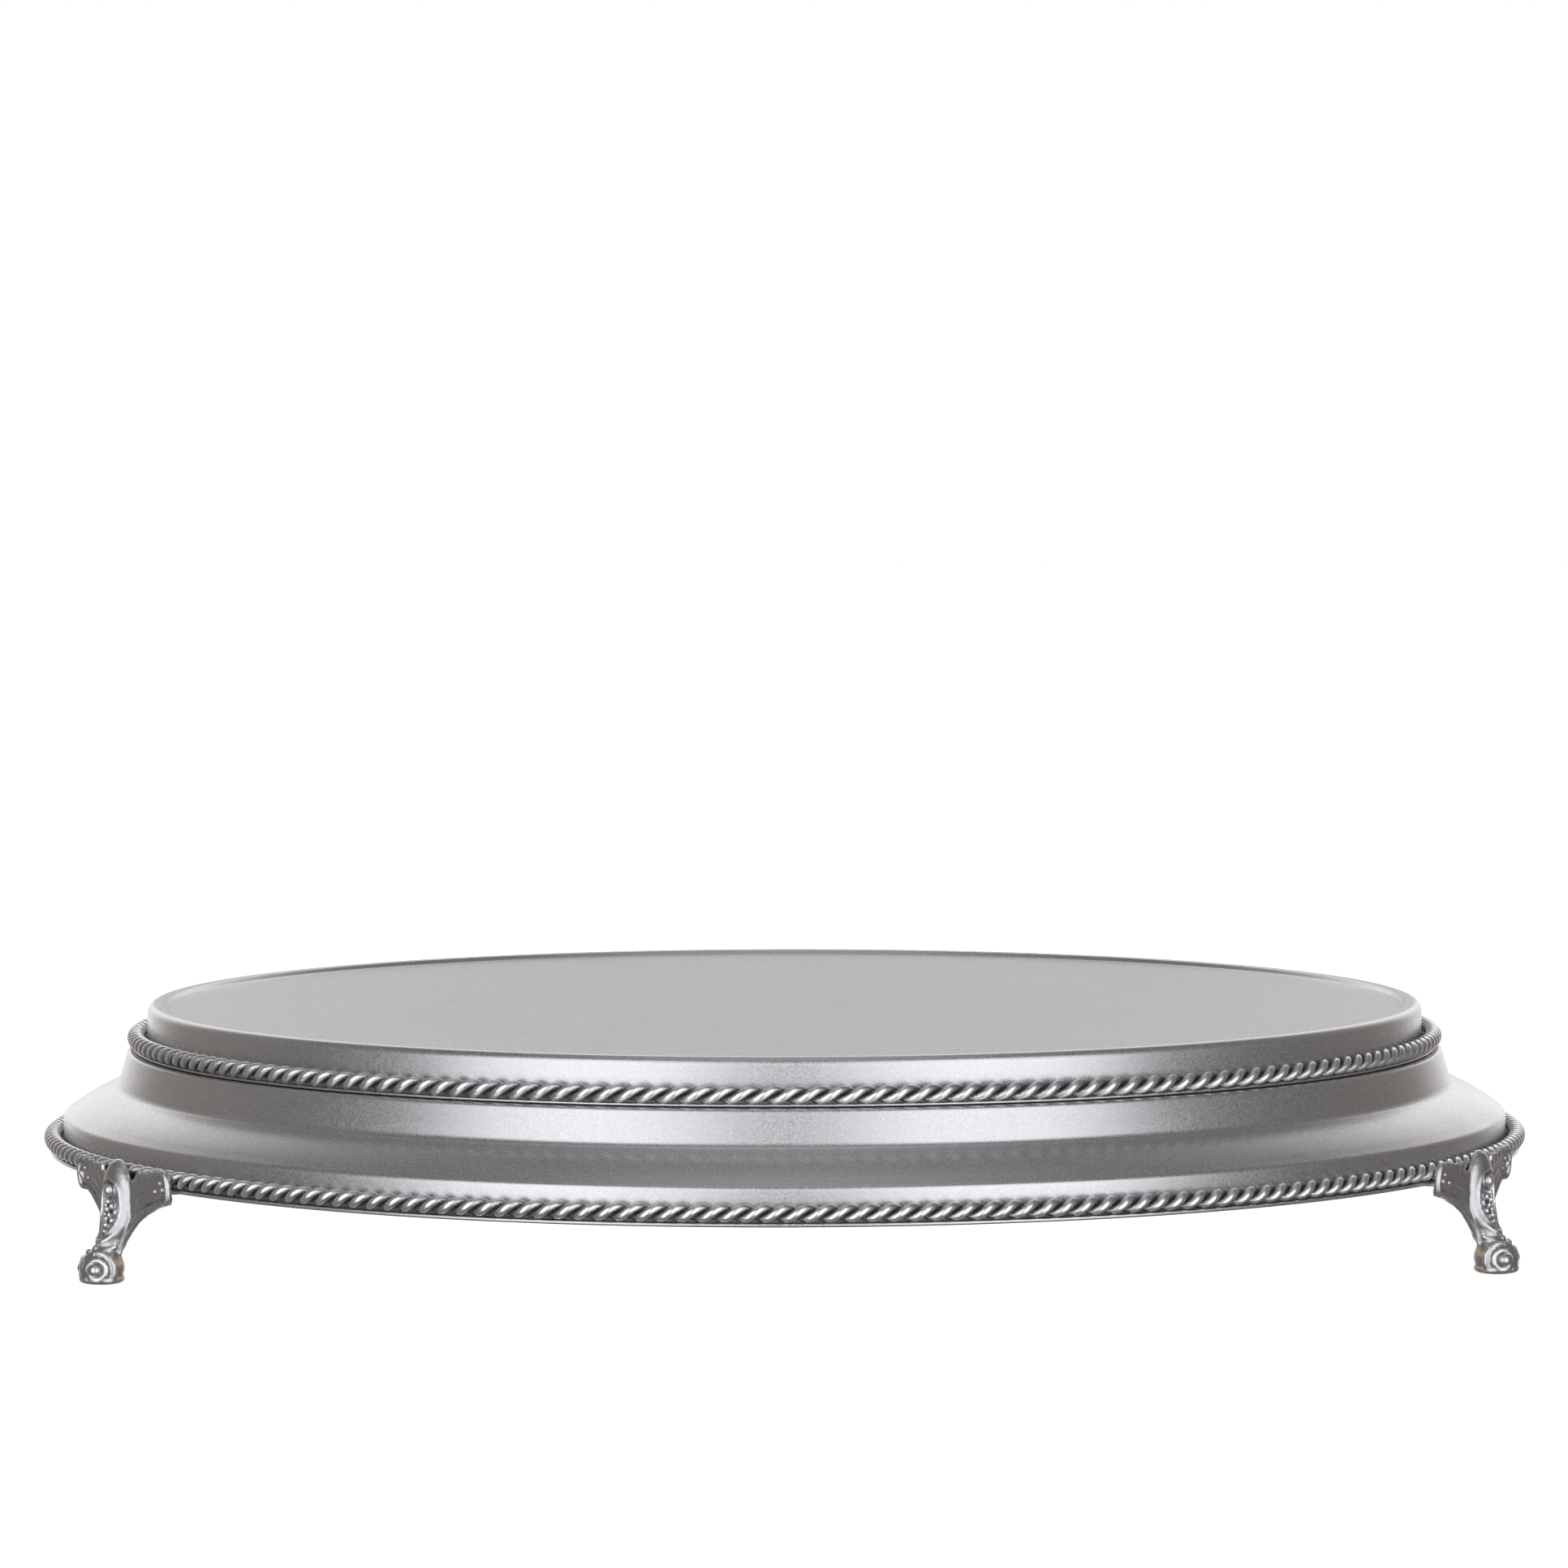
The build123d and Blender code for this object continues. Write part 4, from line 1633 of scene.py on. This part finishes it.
@dataclass
class Base:
    """The standing part: spun shell, its rope, the deck board, the foot ring and the feet.

    Attributes:
        sheet: Thickness of the shell.
        flange_underside: Height of the flange's underside.
        skirt_radius: Radius of the lower skirt.
        skirt_top: Height where the skirt meets the shoulder.
        neck_top: Radius of the top of the neck.
        neck_foot: Radius and height of the foot of the neck.
        shoulder: Radius and height of the middle of the shoulder.
        bends: Bend radius at each corner, from the deck to the flange.
        rope_wire: Radius of one wire of the rope.
        rope_twists: Twists of the base rope round the rim.
        first_foot: Azimuth of the first foot, in degrees.
        foot_pitch: Angle from one foot to the next.
        wing_radius: Radius of the back of the feet's wings, in millimetres.
    """

    sheet: float = 1.2 * MM
    flange_underside: float = 30.0 * MM
    skirt_radius: float = 237.5 * MM
    skirt_top: float = 41.1 * MM
    neck_top: float = 216.4 * MM
    neck_foot: tuple = (219.7 * MM, 51.0 * MM)
    shoulder: tuple = (229.0 * MM, 46.9 * MM)
    bends: tuple = (1.5 * MM, 3.0 * MM, 60.0 * MM, 2.0 * MM, 0.8 * MM)
    rope_wire: float = 1.4 * MM
    rope_twists: int = 122
    first_foot: float = -45.0
    foot_pitch: float = 120.0
    wing_radius: float = 244.2

    def build(self, paint: Finish, wire: Finish, cast: Finish, wood: Finish,
              steel: Finish) -> None:
        """Build and dress the base.

        Args:
            paint: Finish of the shell.
            wire: Finish of the rope.
            cast: Finish of the feet.
            wood: Finish of the deck board.
            steel: Finish of the foot ring.
        """
        self.build_shell(paint)
        self.build_rope(wire)
        self.build_feet(cast)
        wood.dress(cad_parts["deck_board"])
        steel.dress(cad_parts["foot_ring"])

    def build_shell(self, paint: Finish) -> None:
        """Build the spun shell to the CAD node's box.

        Args:
            paint: Its finish.
        """
        _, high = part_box("base_shell")
        flange_top = self.flange_underside + self.sheet
        corners = ((0.0, high.z), (self.neck_top, high.z), self.neck_foot, self.shoulder,
                   (self.skirt_radius, self.skirt_top), (self.skirt_radius, flange_top),
                   (high.x, flange_top))
        section = SheetSection(corners, self.bends, self.sheet)
        shell = SpunSheet("spun_base", section).build(paint)
        settle(shell, Body.BASE, Slot.SILVER, "base_shell")

    def build_rope(self, wire: Finish) -> None:
        """Build the twisted rope, in this finish, in the CAD ring's place."""
        rope = TwistedRope("base_twist", "base_rope", self.rope_wire, self.rope_twists)
        settle(rope.build(wire), Body.BASE, Slot.ANTIQUED, "base_rope")

    def build_feet(self, cast: Finish) -> None:
        """Build the three claw feet.

        Args:
            cast: Their finish.
        """
        foot = ClawFoot(rim=self.wing_radius)
        shape = foot.draw()
        for number in (1, 2, 3):
            low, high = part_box(f"foot_{number}")
            centre = (low + high) / 2
            azimuth = math.degrees(math.atan2(centre.x, -centre.y))
            pitches = round((azimuth - self.first_foot) / self.foot_pitch)
            nearest = pitches * self.foot_pitch + self.first_foot
            piece = new_piece(f"claw_foot_{number}", foot.mesh(nearest, shape))
            cast.dress(piece)
            settle(piece, Body.BASE, Slot.ANTIQUED, f"foot_{number}")


@dataclass
class Pan:
    """The turning part: the pan, its rope and the disc that stiffens it.

    Attributes:
        sheet: Thickness of the pan.
        floor: Height of the plate floor.
        flange_top: Height of the top of the flange under the rope.
        radius: Radius of the pan's skirt.
        rim_foot: Radius where the floor turns up to the rim.
        rim_crest: Radius of the rim's inner crest.
        bends: Bend radius at each corner, from the floor to the flange.
        rope_wire: Radius of one wire of the rope.
        rope_twists: Twists of the pan rope round the pan.
    """

    sheet: float = 0.8 * MM
    floor: float = 75.5 * MM
    flange_top: float = 63.3 * MM
    radius: float = 210.0 * MM
    rim_foot: float = 203.0 * MM
    rim_crest: float = 204.6 * MM
    bends: tuple = (0.9 * MM, 1.2 * MM, 2.7 * MM, 0.8 * MM)
    rope_wire: float = 1.4 * MM
    rope_twists: int = 100

    def build(self, paint: Finish, wire: Finish, disc: Finish) -> None:
        """Build and dress the pan.

        Args:
            paint: Finish of the pan.
            wire: Finish of the rope.
            disc: Finish of the stiffener.
        """
        _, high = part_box("top_pan")
        corners = ((0.0, self.floor), (self.rim_foot, self.floor), (self.rim_crest, high.z),
                   (self.radius, high.z), (self.radius, self.flange_top),
                   (high.x, self.flange_top))
        section = SheetSection(corners, self.bends, self.sheet)
        pan = SpunSheet("spun_pan", section).build(paint)
        settle(pan, Body.PLATTER, Slot.SILVER, "top_pan")
        rope = TwistedRope("pan_twist", "pan_rope", self.rope_wire, self.rope_twists)
        settle(rope.build(wire), Body.PLATTER, Slot.ANTIQUED, "pan_rope")
        disc.dress(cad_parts["pan_stiffener"])


@dataclass
class RingBearing:
    """The ring bearing: two races, a cage and its balls.

    Attributes:
        balls: Number of balls.
        ball_radius: Radius of a ball.
        circle: Radius of the balls' circle.
    """

    balls: int = 36
    ball_radius: float = 2.38 * MM
    circle: float = 145.0 * MM

    def build(self, races: Finish, cage: Finish, steel: Finish) -> None:
        """Build the balls and dress the races and the cage.

        Args:
            races: Finish of both races.
            cage: Finish of the cage.
            steel: Finish of the balls.
        """
        races.dress(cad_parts["inner_race"])
        races.dress(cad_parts["outer_race"])
        cage.dress(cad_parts["ball_cage"])
        low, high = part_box("bearing_balls")
        sizes = {"Balls": ("NodeSocketInt", self.balls),
                 "Ball Radius": ("NodeSocketFloat", self.ball_radius),
                 "Circle": ("NodeSocketFloat", self.circle),
                 "Finish": ("NodeSocketMaterial", steel.material())}
        grower = Grower("Ball ring", sizes)
        wiring, given = grower.wiring, grower.given
        ring = wiring.add("GeometryNodeMeshCircle", {"Vertices": given["Balls"],
                                                     "Radius": given["Circle"]})
        ball = wiring.add("GeometryNodeMeshUVSphere", {"Segments": 28, "Rings": 16,
                                                       "Radius": given["Ball Radius"]})
        placed = wiring.add("GeometryNodeInstanceOnPoints", {"Points": ring.outputs[0],
                                                             "Instance": ball.outputs[0]})
        lifted = wiring.add("GeometryNodeTransform", {"Geometry": placed.outputs[0]})
        wiring.feed(lifted, "Translation", (0.0, 0.0, (low.z + high.z) / 2))
        grower.end(lifted.outputs[0])
        balls = grower.grow("bearing_ball_ring", mesh_of("balls", ((0.0, 0.0, 0.0),), ()))
        settle(balls, Body.CAGE, Slot.BALL, "bearing_balls")


@dataclass
class Fasteners:
    """Screws, washers and nuts, each kind grown from one pattern set on its places.

    Attributes:
        thread: Radius of the thread.
        pitch: Pitch of the thread.
        head: Radius of a screw's head.
        head_height: Height of a screw's head.
        cone_height: Height of a countersunk screw's head.
        washer: Radius of a washer.
        washer_height: Height of a washer.
        nut: Half of a nut's width across its flats.
        nut_height: Height of a nut.
        thread_depth: Depth of the thread's groove.
        lead_taper: How much thinner the thread's end is.
        socket: Half of the socket's width across its flats.
        sockets: Depth of the socket in a domed and in a flat head.
        dome: Radius and height, in millimetres, of each row of a domed head.
        cone: The same of a countersunk head.
        seed: Seed of the turn of each fastener.
    """

    thread: float = 2.0 * MM
    pitch: float = 0.7 * MM
    head: float = 3.75 * MM
    head_height: float = 2.6 * MM
    cone_height: float = 1.75 * MM
    washer: float = 4.5 * MM
    washer_height: float = 0.8 * MM
    nut: float = 3.5 * MM
    nut_height: float = 3.2 * MM
    thread_depth: float = 0.42 * MM
    lead_taper: float = 0.35 * MM
    socket: float = 1.4 * MM
    sockets: tuple[float, float] = (1.6 * MM, 1.2 * MM)
    dome: tuple = ((1.8, 0.0), (2.6, 0.0), (2.95, 0.04), (3.35, 0.24), (3.62, 0.55),
                   (3.75, 0.95), (3.75, 1.1), (3.75, 2.4), (3.68, 2.6), (2.0, 2.6))
    cone: tuple = ((1.7, 0.0), (3.5, 0.0), (3.68, 0.03), (3.72, 0.1), (2.05, 1.7), (2.0, 1.75))
    seed: int = 7

    def build(self, steel: Finish) -> None:
        """Build every group of fasteners.

        Args:
            steel: Their finish.
        """
        for node, body in (("foot_screws", Body.BASE), ("inner_race_screws", Body.BASE),
                           ("outer_race_screws", Body.PLATTER)):
            low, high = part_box(node)
            flat = node == "foot_screws"
            self.set_out(node, body, self.screw(high.z - low.z, flat), steel)
        for node in ("foot_washers", "inner_race_washers"):
            self.set_out(node, Body.BASE, self.washer_mesh(), steel)
        self.set_out("foot_nuts", Body.BASE, self.nut_mesh(), steel)

    def places(self, node: str) -> list[tuple[float, float, float]]:
        """Where the fasteners of a CAD node stand.

        Args:
            node: The CAD node's name.

        Returns:
            The lowest middle point of each of its solids.
        """
        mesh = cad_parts[node].data
        reach = self.washer * 2.2
        spots = {}
        for vertex in mesh.vertices:
            for key in spots:
                if math.hypot(vertex.co.x - key[0], vertex.co.y - key[1]) < reach:
                    spots[key].append(vertex.co)
                    break
            else:
                spots[(vertex.co.x, vertex.co.y)] = [vertex.co]
        middles = []
        for cluster in spots.values():
            sums = np.array([tuple(c) for c in cluster])
            middle = (sums.min(0) + sums.max(0)) / 2
            middles.append((middle[0], middle[1], sums[:, 2].min()))
        return middles

    def set_out(self, node: str, body: Body, pattern: bpy.types.Mesh, steel: Finish) -> None:
        """Set a pattern on every place of a CAD node's fasteners.

        Args:
            node: The CAD node.
            body: The body it rides on.
            pattern: The mesh of one fastener, standing on its origin.
            steel: Its finish.
        """
        model = new_piece(node + "_pattern", pattern)
        sizes = {"Pattern": ("NodeSocketObject", model),
                 "Finish": ("NodeSocketMaterial", steel.material())}
        grower = Grower("Set out " + node, sizes)
        wiring, given = grower.wiring, grower.given
        source = wiring.add("GeometryNodeObjectInfo", {"Object": given["Pattern"]})
        spin = wiring.add("FunctionNodeRandomValue", {"Seed": self.seed}, data_type="FLOAT")
        wiring.feed(spin, "Max", 2 * math.pi)
        turn = wiring.add("ShaderNodeCombineXYZ", {2: spin.outputs["Value"]})
        placed = wiring.add("GeometryNodeInstanceOnPoints", {"Points": given["Geometry"],
                                                             "Instance":
                                                             source.outputs["Geometry"]})
        wiring.feed(placed, "Rotation", turn.outputs[0])
        grower.end(placed.outputs[0])
        group = grower.grow(node + "_set", mesh_of(node, self.places(node), ()))
        bpy.data.objects.remove(model)
        settle(group, body, Slot.ZINC, node)

    @staticmethod
    def revolve(name: str, rows: list, segments: int) -> bpy.types.Mesh:
        """Skin rows of points round the Z axis, closed at both ends by a fan.

        Args:
            name: The mesh's name.
            rows: One list of points to each row, bottom row first.
            segments: Points of a row.

        Returns:
            The mesh.
        """
        points = [point for row in rows for point in row]
        faces = []
        for row in range(len(rows) - 1):
            for index in range(segments):
                a = row * segments + index
                b = row * segments + (index + 1) % segments
                faces.append((a, b, b + segments, a + segments))
        for row, flip in ((0, True), (len(rows) - 1, False)):
            ring = [row * segments + index for index in range(segments)]
            faces.append(tuple(reversed(ring)) if flip else tuple(ring))
        return mesh_of(name, points, faces)

    def screw(self, length: float, flat: bool) -> bpy.types.Mesh:
        """A socket screw, head down, with a real helical thread.

        Args:
            length: Its whole length.
            flat: Whether its head is countersunk.

        Returns:
            The mesh, standing on its head.
        """
        segments, rows_to_turn = 24, 6
        socket, depth, lip = self.socket, self.sockets[flat], 0.05 * MM
        turn = [2 * math.pi * i / segments for i in range(segments)]
        hexagon = [math.cos(math.pi / 6) / math.cos((a % (math.pi / 3)) - math.pi / 6)
                   for a in turn]
        rows = [[(socket * h * math.cos(a), socket * h * math.sin(a), depth)
                 for a, h in zip(turn, hexagon)],
                [(socket * h * math.cos(a), socket * h * math.sin(a), lip)
                 for a, h in zip(turn, hexagon)]]
        top = self.cone_height if flat else self.head_height
        rows += [[(r * MM * math.cos(a), r * MM * math.sin(a), z * MM) for a in turn]
                 for r, z in (self.cone if flat else self.dome)]
        count = int((length - top) / self.pitch * rows_to_turn)
        for row in range(1, count + 1):
            height = (length - top) * row / count
            fade = min(1.0, (length - top - height) / self.pitch)
            ring = []
            for a in turn:
                phase = (height / self.pitch - a / (2 * math.pi)) % 1.0
                ridge = (abs(2 * phase - 1) - 1.0) * self.thread_depth * fade
                radius = self.thread + ridge - self.lead_taper * (1.0 - fade)
                ring.append((radius * math.cos(a), radius * math.sin(a), top + height))
            rows.append(ring)
        return self.revolve("screw", rows, segments)

    def washer_mesh(self) -> bpy.types.Mesh:
        """A flat washer with rounded edges.

        Returns:
            The mesh.
        """
        segments, soft = 32, 0.12 * MM
        inner, outer, top = self.thread + 0.2 * MM, self.washer, self.washer_height
        loop = ((inner, soft), (inner + soft, 0.0), (outer - soft, 0.0), (outer, soft),
                (outer, top - soft), (outer - soft, top), (inner + soft, top),
                (inner, top - soft))
        return self.ring_mesh("washer", loop, segments)

    @staticmethod
    def ring_mesh(name: str, loop: tuple, segments: int) -> bpy.types.Mesh:
        """Revolve a closed loop of radius and height.

        Args:
            name: The mesh's name.
            loop: The loop's points, radius and height, going round counter-clockwise.
            segments: Segments round the axis.

        Returns:
            The mesh.
        """
        points = []
        for index in range(segments):
            a = 2 * math.pi * index / segments
            points += [(r * math.cos(a), r * math.sin(a), z) for r, z in loop]
        return mesh_of(name, points, Fasteners.ring_faces(len(loop), segments))

    @staticmethod
    def ring_faces(count: int, segments: int) -> list[tuple[int, ...]]:
        """Join loops of points that stand round an axis.

        Args:
            count: Points of a loop.
            segments: Loops round the axis.

        Returns:
            The faces between each loop and the next.
        """
        faces = []
        for index in range(segments):
            for spot in range(count):
                a, b = index * count + spot, index * count + (spot + 1) % count
                ahead = ((index + 1) % segments - index) * count
                faces.append((a, a + ahead, b + ahead, b))
        return faces

    def nut_mesh(self) -> bpy.types.Mesh:
        """A hexagon nut with chamfered corners and a threaded hole.

        Returns:
            The mesh.
        """
        segments, top = 48, self.nut_height
        bore, flat = self.thread, self.nut
        lead, chamfer, face = 0.3 * MM, 0.45 * MM, self.nut * 0.97
        rows = ((bore, lead, False), (bore + lead, 0.0, False), (face, 0.0, False),
                (flat, chamfer, True), (flat, top - chamfer, True), (face, top, False),
                (bore + lead, top, False), (bore, top - lead, False))
        points = []
        for index in range(segments):
            a = 2 * math.pi * index / segments
            corner = 1.0 / math.cos((a % (math.pi / 3)) - math.pi / 6)
            for radius, z, hexed in rows:
                reach = radius * corner if hexed else radius
                points.append((reach * math.cos(a), reach * math.sin(a), z))
        return mesh_of("nut", points, self.ring_faces(len(rows), segments))


# ---------------------------------------------------------------- studio


@dataclass(frozen=True)
class Card:
    """A soft patch of light in the studio's surroundings.

    Attributes:
        azimuth: Its direction in degrees, from the camera's side towards its right.
        elevation: Its height in degrees.
        spread: Half angle where it has faded out, in degrees.
        core: Half angle of its even middle, in degrees.
        colour: Its colour.
        power: Its brightness.
    """

    azimuth: float
    elevation: float
    spread: float
    core: float
    colour: tuple[float, float, float]
    power: float


@dataclass
class Studio:
    """The floor, the light and the camera.

    Attributes:
        azimuth: Where the camera stands, in degrees from -Y towards +X.
        distance: Its distance from the turning axis.
        height: Its height over the table.
        pitch: How far it looks down, in degrees.
        roll: How far it leans, in degrees.
        lens: Its focal length in millimetres.
        ambient: Light of the dark studio between the cards.
        sensor: Width of its sensor in millimetres.
        floor_half: Half width of the floor.
        squat: How far heights are pressed together before a card's shape is measured.
        cards: The soft patches of light and, with negative power, dark flags.
    """

    azimuth: float = 12.5
    distance: float = 2.0325
    height: float = 0.2498
    pitch: float = 2.875
    roll: float = -0.108
    lens: float = 141.26
    ambient: float = 0.155
    sensor: float = 36.0
    floor_half: float = 14.0
    squat: float = 0.55
    cards: tuple[Card, ...] = (
        Card(-34.5, 8.0, 38.0, 10.0, (0.97, 0.99, 1.05), 1.58),
        Card(34.5, 8.0, 38.0, 10.0, (0.97, 0.99, 1.05), 1.58),
        Card(180.0, 9.0, 41.0, 12.0, (1.0, 1.0, 1.01), 1.18),
        Card(180.0, 5.0, 12.0, 5.0, (1.0, 1.0, 1.0), -0.85),
        Card(-130.0, 6.0, 34.0, 4.0, (1.0, 0.74, 0.58), 0.10),
        Card(130.0, 6.0, 34.0, 4.0, (1.0, 0.74, 0.58), 0.09),
        Card(112.0, 2.0, 26.0, 6.0, (1.0, 1.0, 1.0), -0.05),
        Card(0.0, 90.0, 45.0, 12.0, (1.0, 1.0, 1.0), 0.36),
    )

    def build(self, paper: Finish) -> None:
        """Build the studio.

        Args:
            paper: Finish of the floor.
        """
        self.build_camera()
        self.build_floor(paper)
        self.build_light()

    def build_camera(self) -> None:
        """Stand the camera in its place."""
        data = bpy.data.cameras.new("camera")
        data.sensor_width = self.sensor
        data.lens = self.lens
        data.clip_end = 100.0
        camera = bpy.data.objects.new("camera", data)
        bpy.context.scene.collection.objects.link(camera)
        side = math.radians(self.azimuth)
        place = Vector((self.distance * math.sin(side), -self.distance * math.cos(side),
                        self.height))
        camera.matrix_world = (Matrix.Translation(place) @ Matrix.Rotation(side, 4, "Z")
                               @ Matrix.Rotation(math.radians(90.0 - self.pitch), 4, "X")
                               @ Matrix.Rotation(math.radians(self.roll), 4, "Z"))
        bpy.context.scene.camera = camera

    def build_floor(self, paper: Finish) -> None:
        """Lay a wide pale floor at table level.

        Args:
            paper: Its finish.
        """
        half = self.floor_half
        corners = [(-half, -half, 0.0), (half, -half, 0.0), (half, half, 0.0), (-half, half, 0.0)]
        floor = new_piece("studio_floor", mesh_of("studio_floor", corners, [(0, 1, 2, 3)]))
        paper.dress(floor)
        floor.visible_glossy = False

    def build_light(self) -> None:
        """Light the scene from soft cards, white where the camera sees past the floor."""
        world = bpy.data.worlds.new("studio")
        bpy.context.scene.world = world
        world.use_nodes = True
        world.node_tree.nodes.clear()
        wiring = Wiring(world.node_tree)
        ray = wiring.add("ShaderNodeTexCoord").outputs["Generated"]
        pressed = wiring.vector("MULTIPLY", ray, (1.0, 1.0, self.squat))
        ray = wiring.vector("NORMALIZE", pressed)
        light = None
        for card in self.cards:
            side = math.radians(self.azimuth + card.azimuth)
            rise = math.radians(card.elevation)
            aim = Vector((math.sin(side) * math.cos(rise), -math.cos(side) * math.cos(rise),
                          math.sin(rise) * self.squat)).normalized()
            facing = wiring.vector("DOT_PRODUCT", ray, tuple(aim))
            patch = wiring.ramp(facing, math.cos(math.radians(card.spread)),
                                math.cos(math.radians(card.core)), 0.0, card.power)
            tint = wiring.add("ShaderNodeVectorMath", {0: card.colour}, operation="SCALE")
            wiring.feed(tint, "Scale", patch)
            light = tint.outputs[0] if light is None else wiring.vector("ADD", light,
                                                                        tint.outputs[0])
        dusk = (self.ambient * 1.01, self.ambient * 0.985, self.ambient)
        total = wiring.vector("MAXIMUM", wiring.vector("ADD", light, dusk), (0.02,) * 3)
        studio = wiring.add("ShaderNodeBackground", {"Color": total, "Strength": 1.0})
        backdrop = wiring.add("ShaderNodeBackground", {"Color": grey(1.0), "Strength": 1.0})
        seen = wiring.add("ShaderNodeLightPath").outputs["Is Camera Ray"]
        either = wiring.add("ShaderNodeMixShader", {0: seen, 1: studio.outputs[0],
                                                    2: backdrop.outputs[0]})
        output = wiring.add("ShaderNodeOutputWorld")
        wiring.feed(output, "Surface", either.outputs[0])
        bpy.context.scene.view_settings.view_transform = "Standard"


def main() -> None:
    """Build the studio and every sub-assembly."""
    logging.basicConfig(level=logging.INFO, format="%(name)s: %(message)s")
    paint, wire = SilverPaint(), AntiquedSilver()
    cast = AntiquedSilver(name="antiqued_casting", mottle=700.0, graininess=0.05 * MM)
    aluminium, zinc = TurnedAluminium(), ZincPlate()
    Studio().build(StudioPaper())
    Base().build(paint, wire, cast, Plywood(), zinc)
    Pan().build(paint, wire, aluminium)
    RingBearing().build(aluminium, MouldedPlastic(), PolishedSteel())
    Fasteners().build(zinc)


if __name__ == "__main__":
    main()
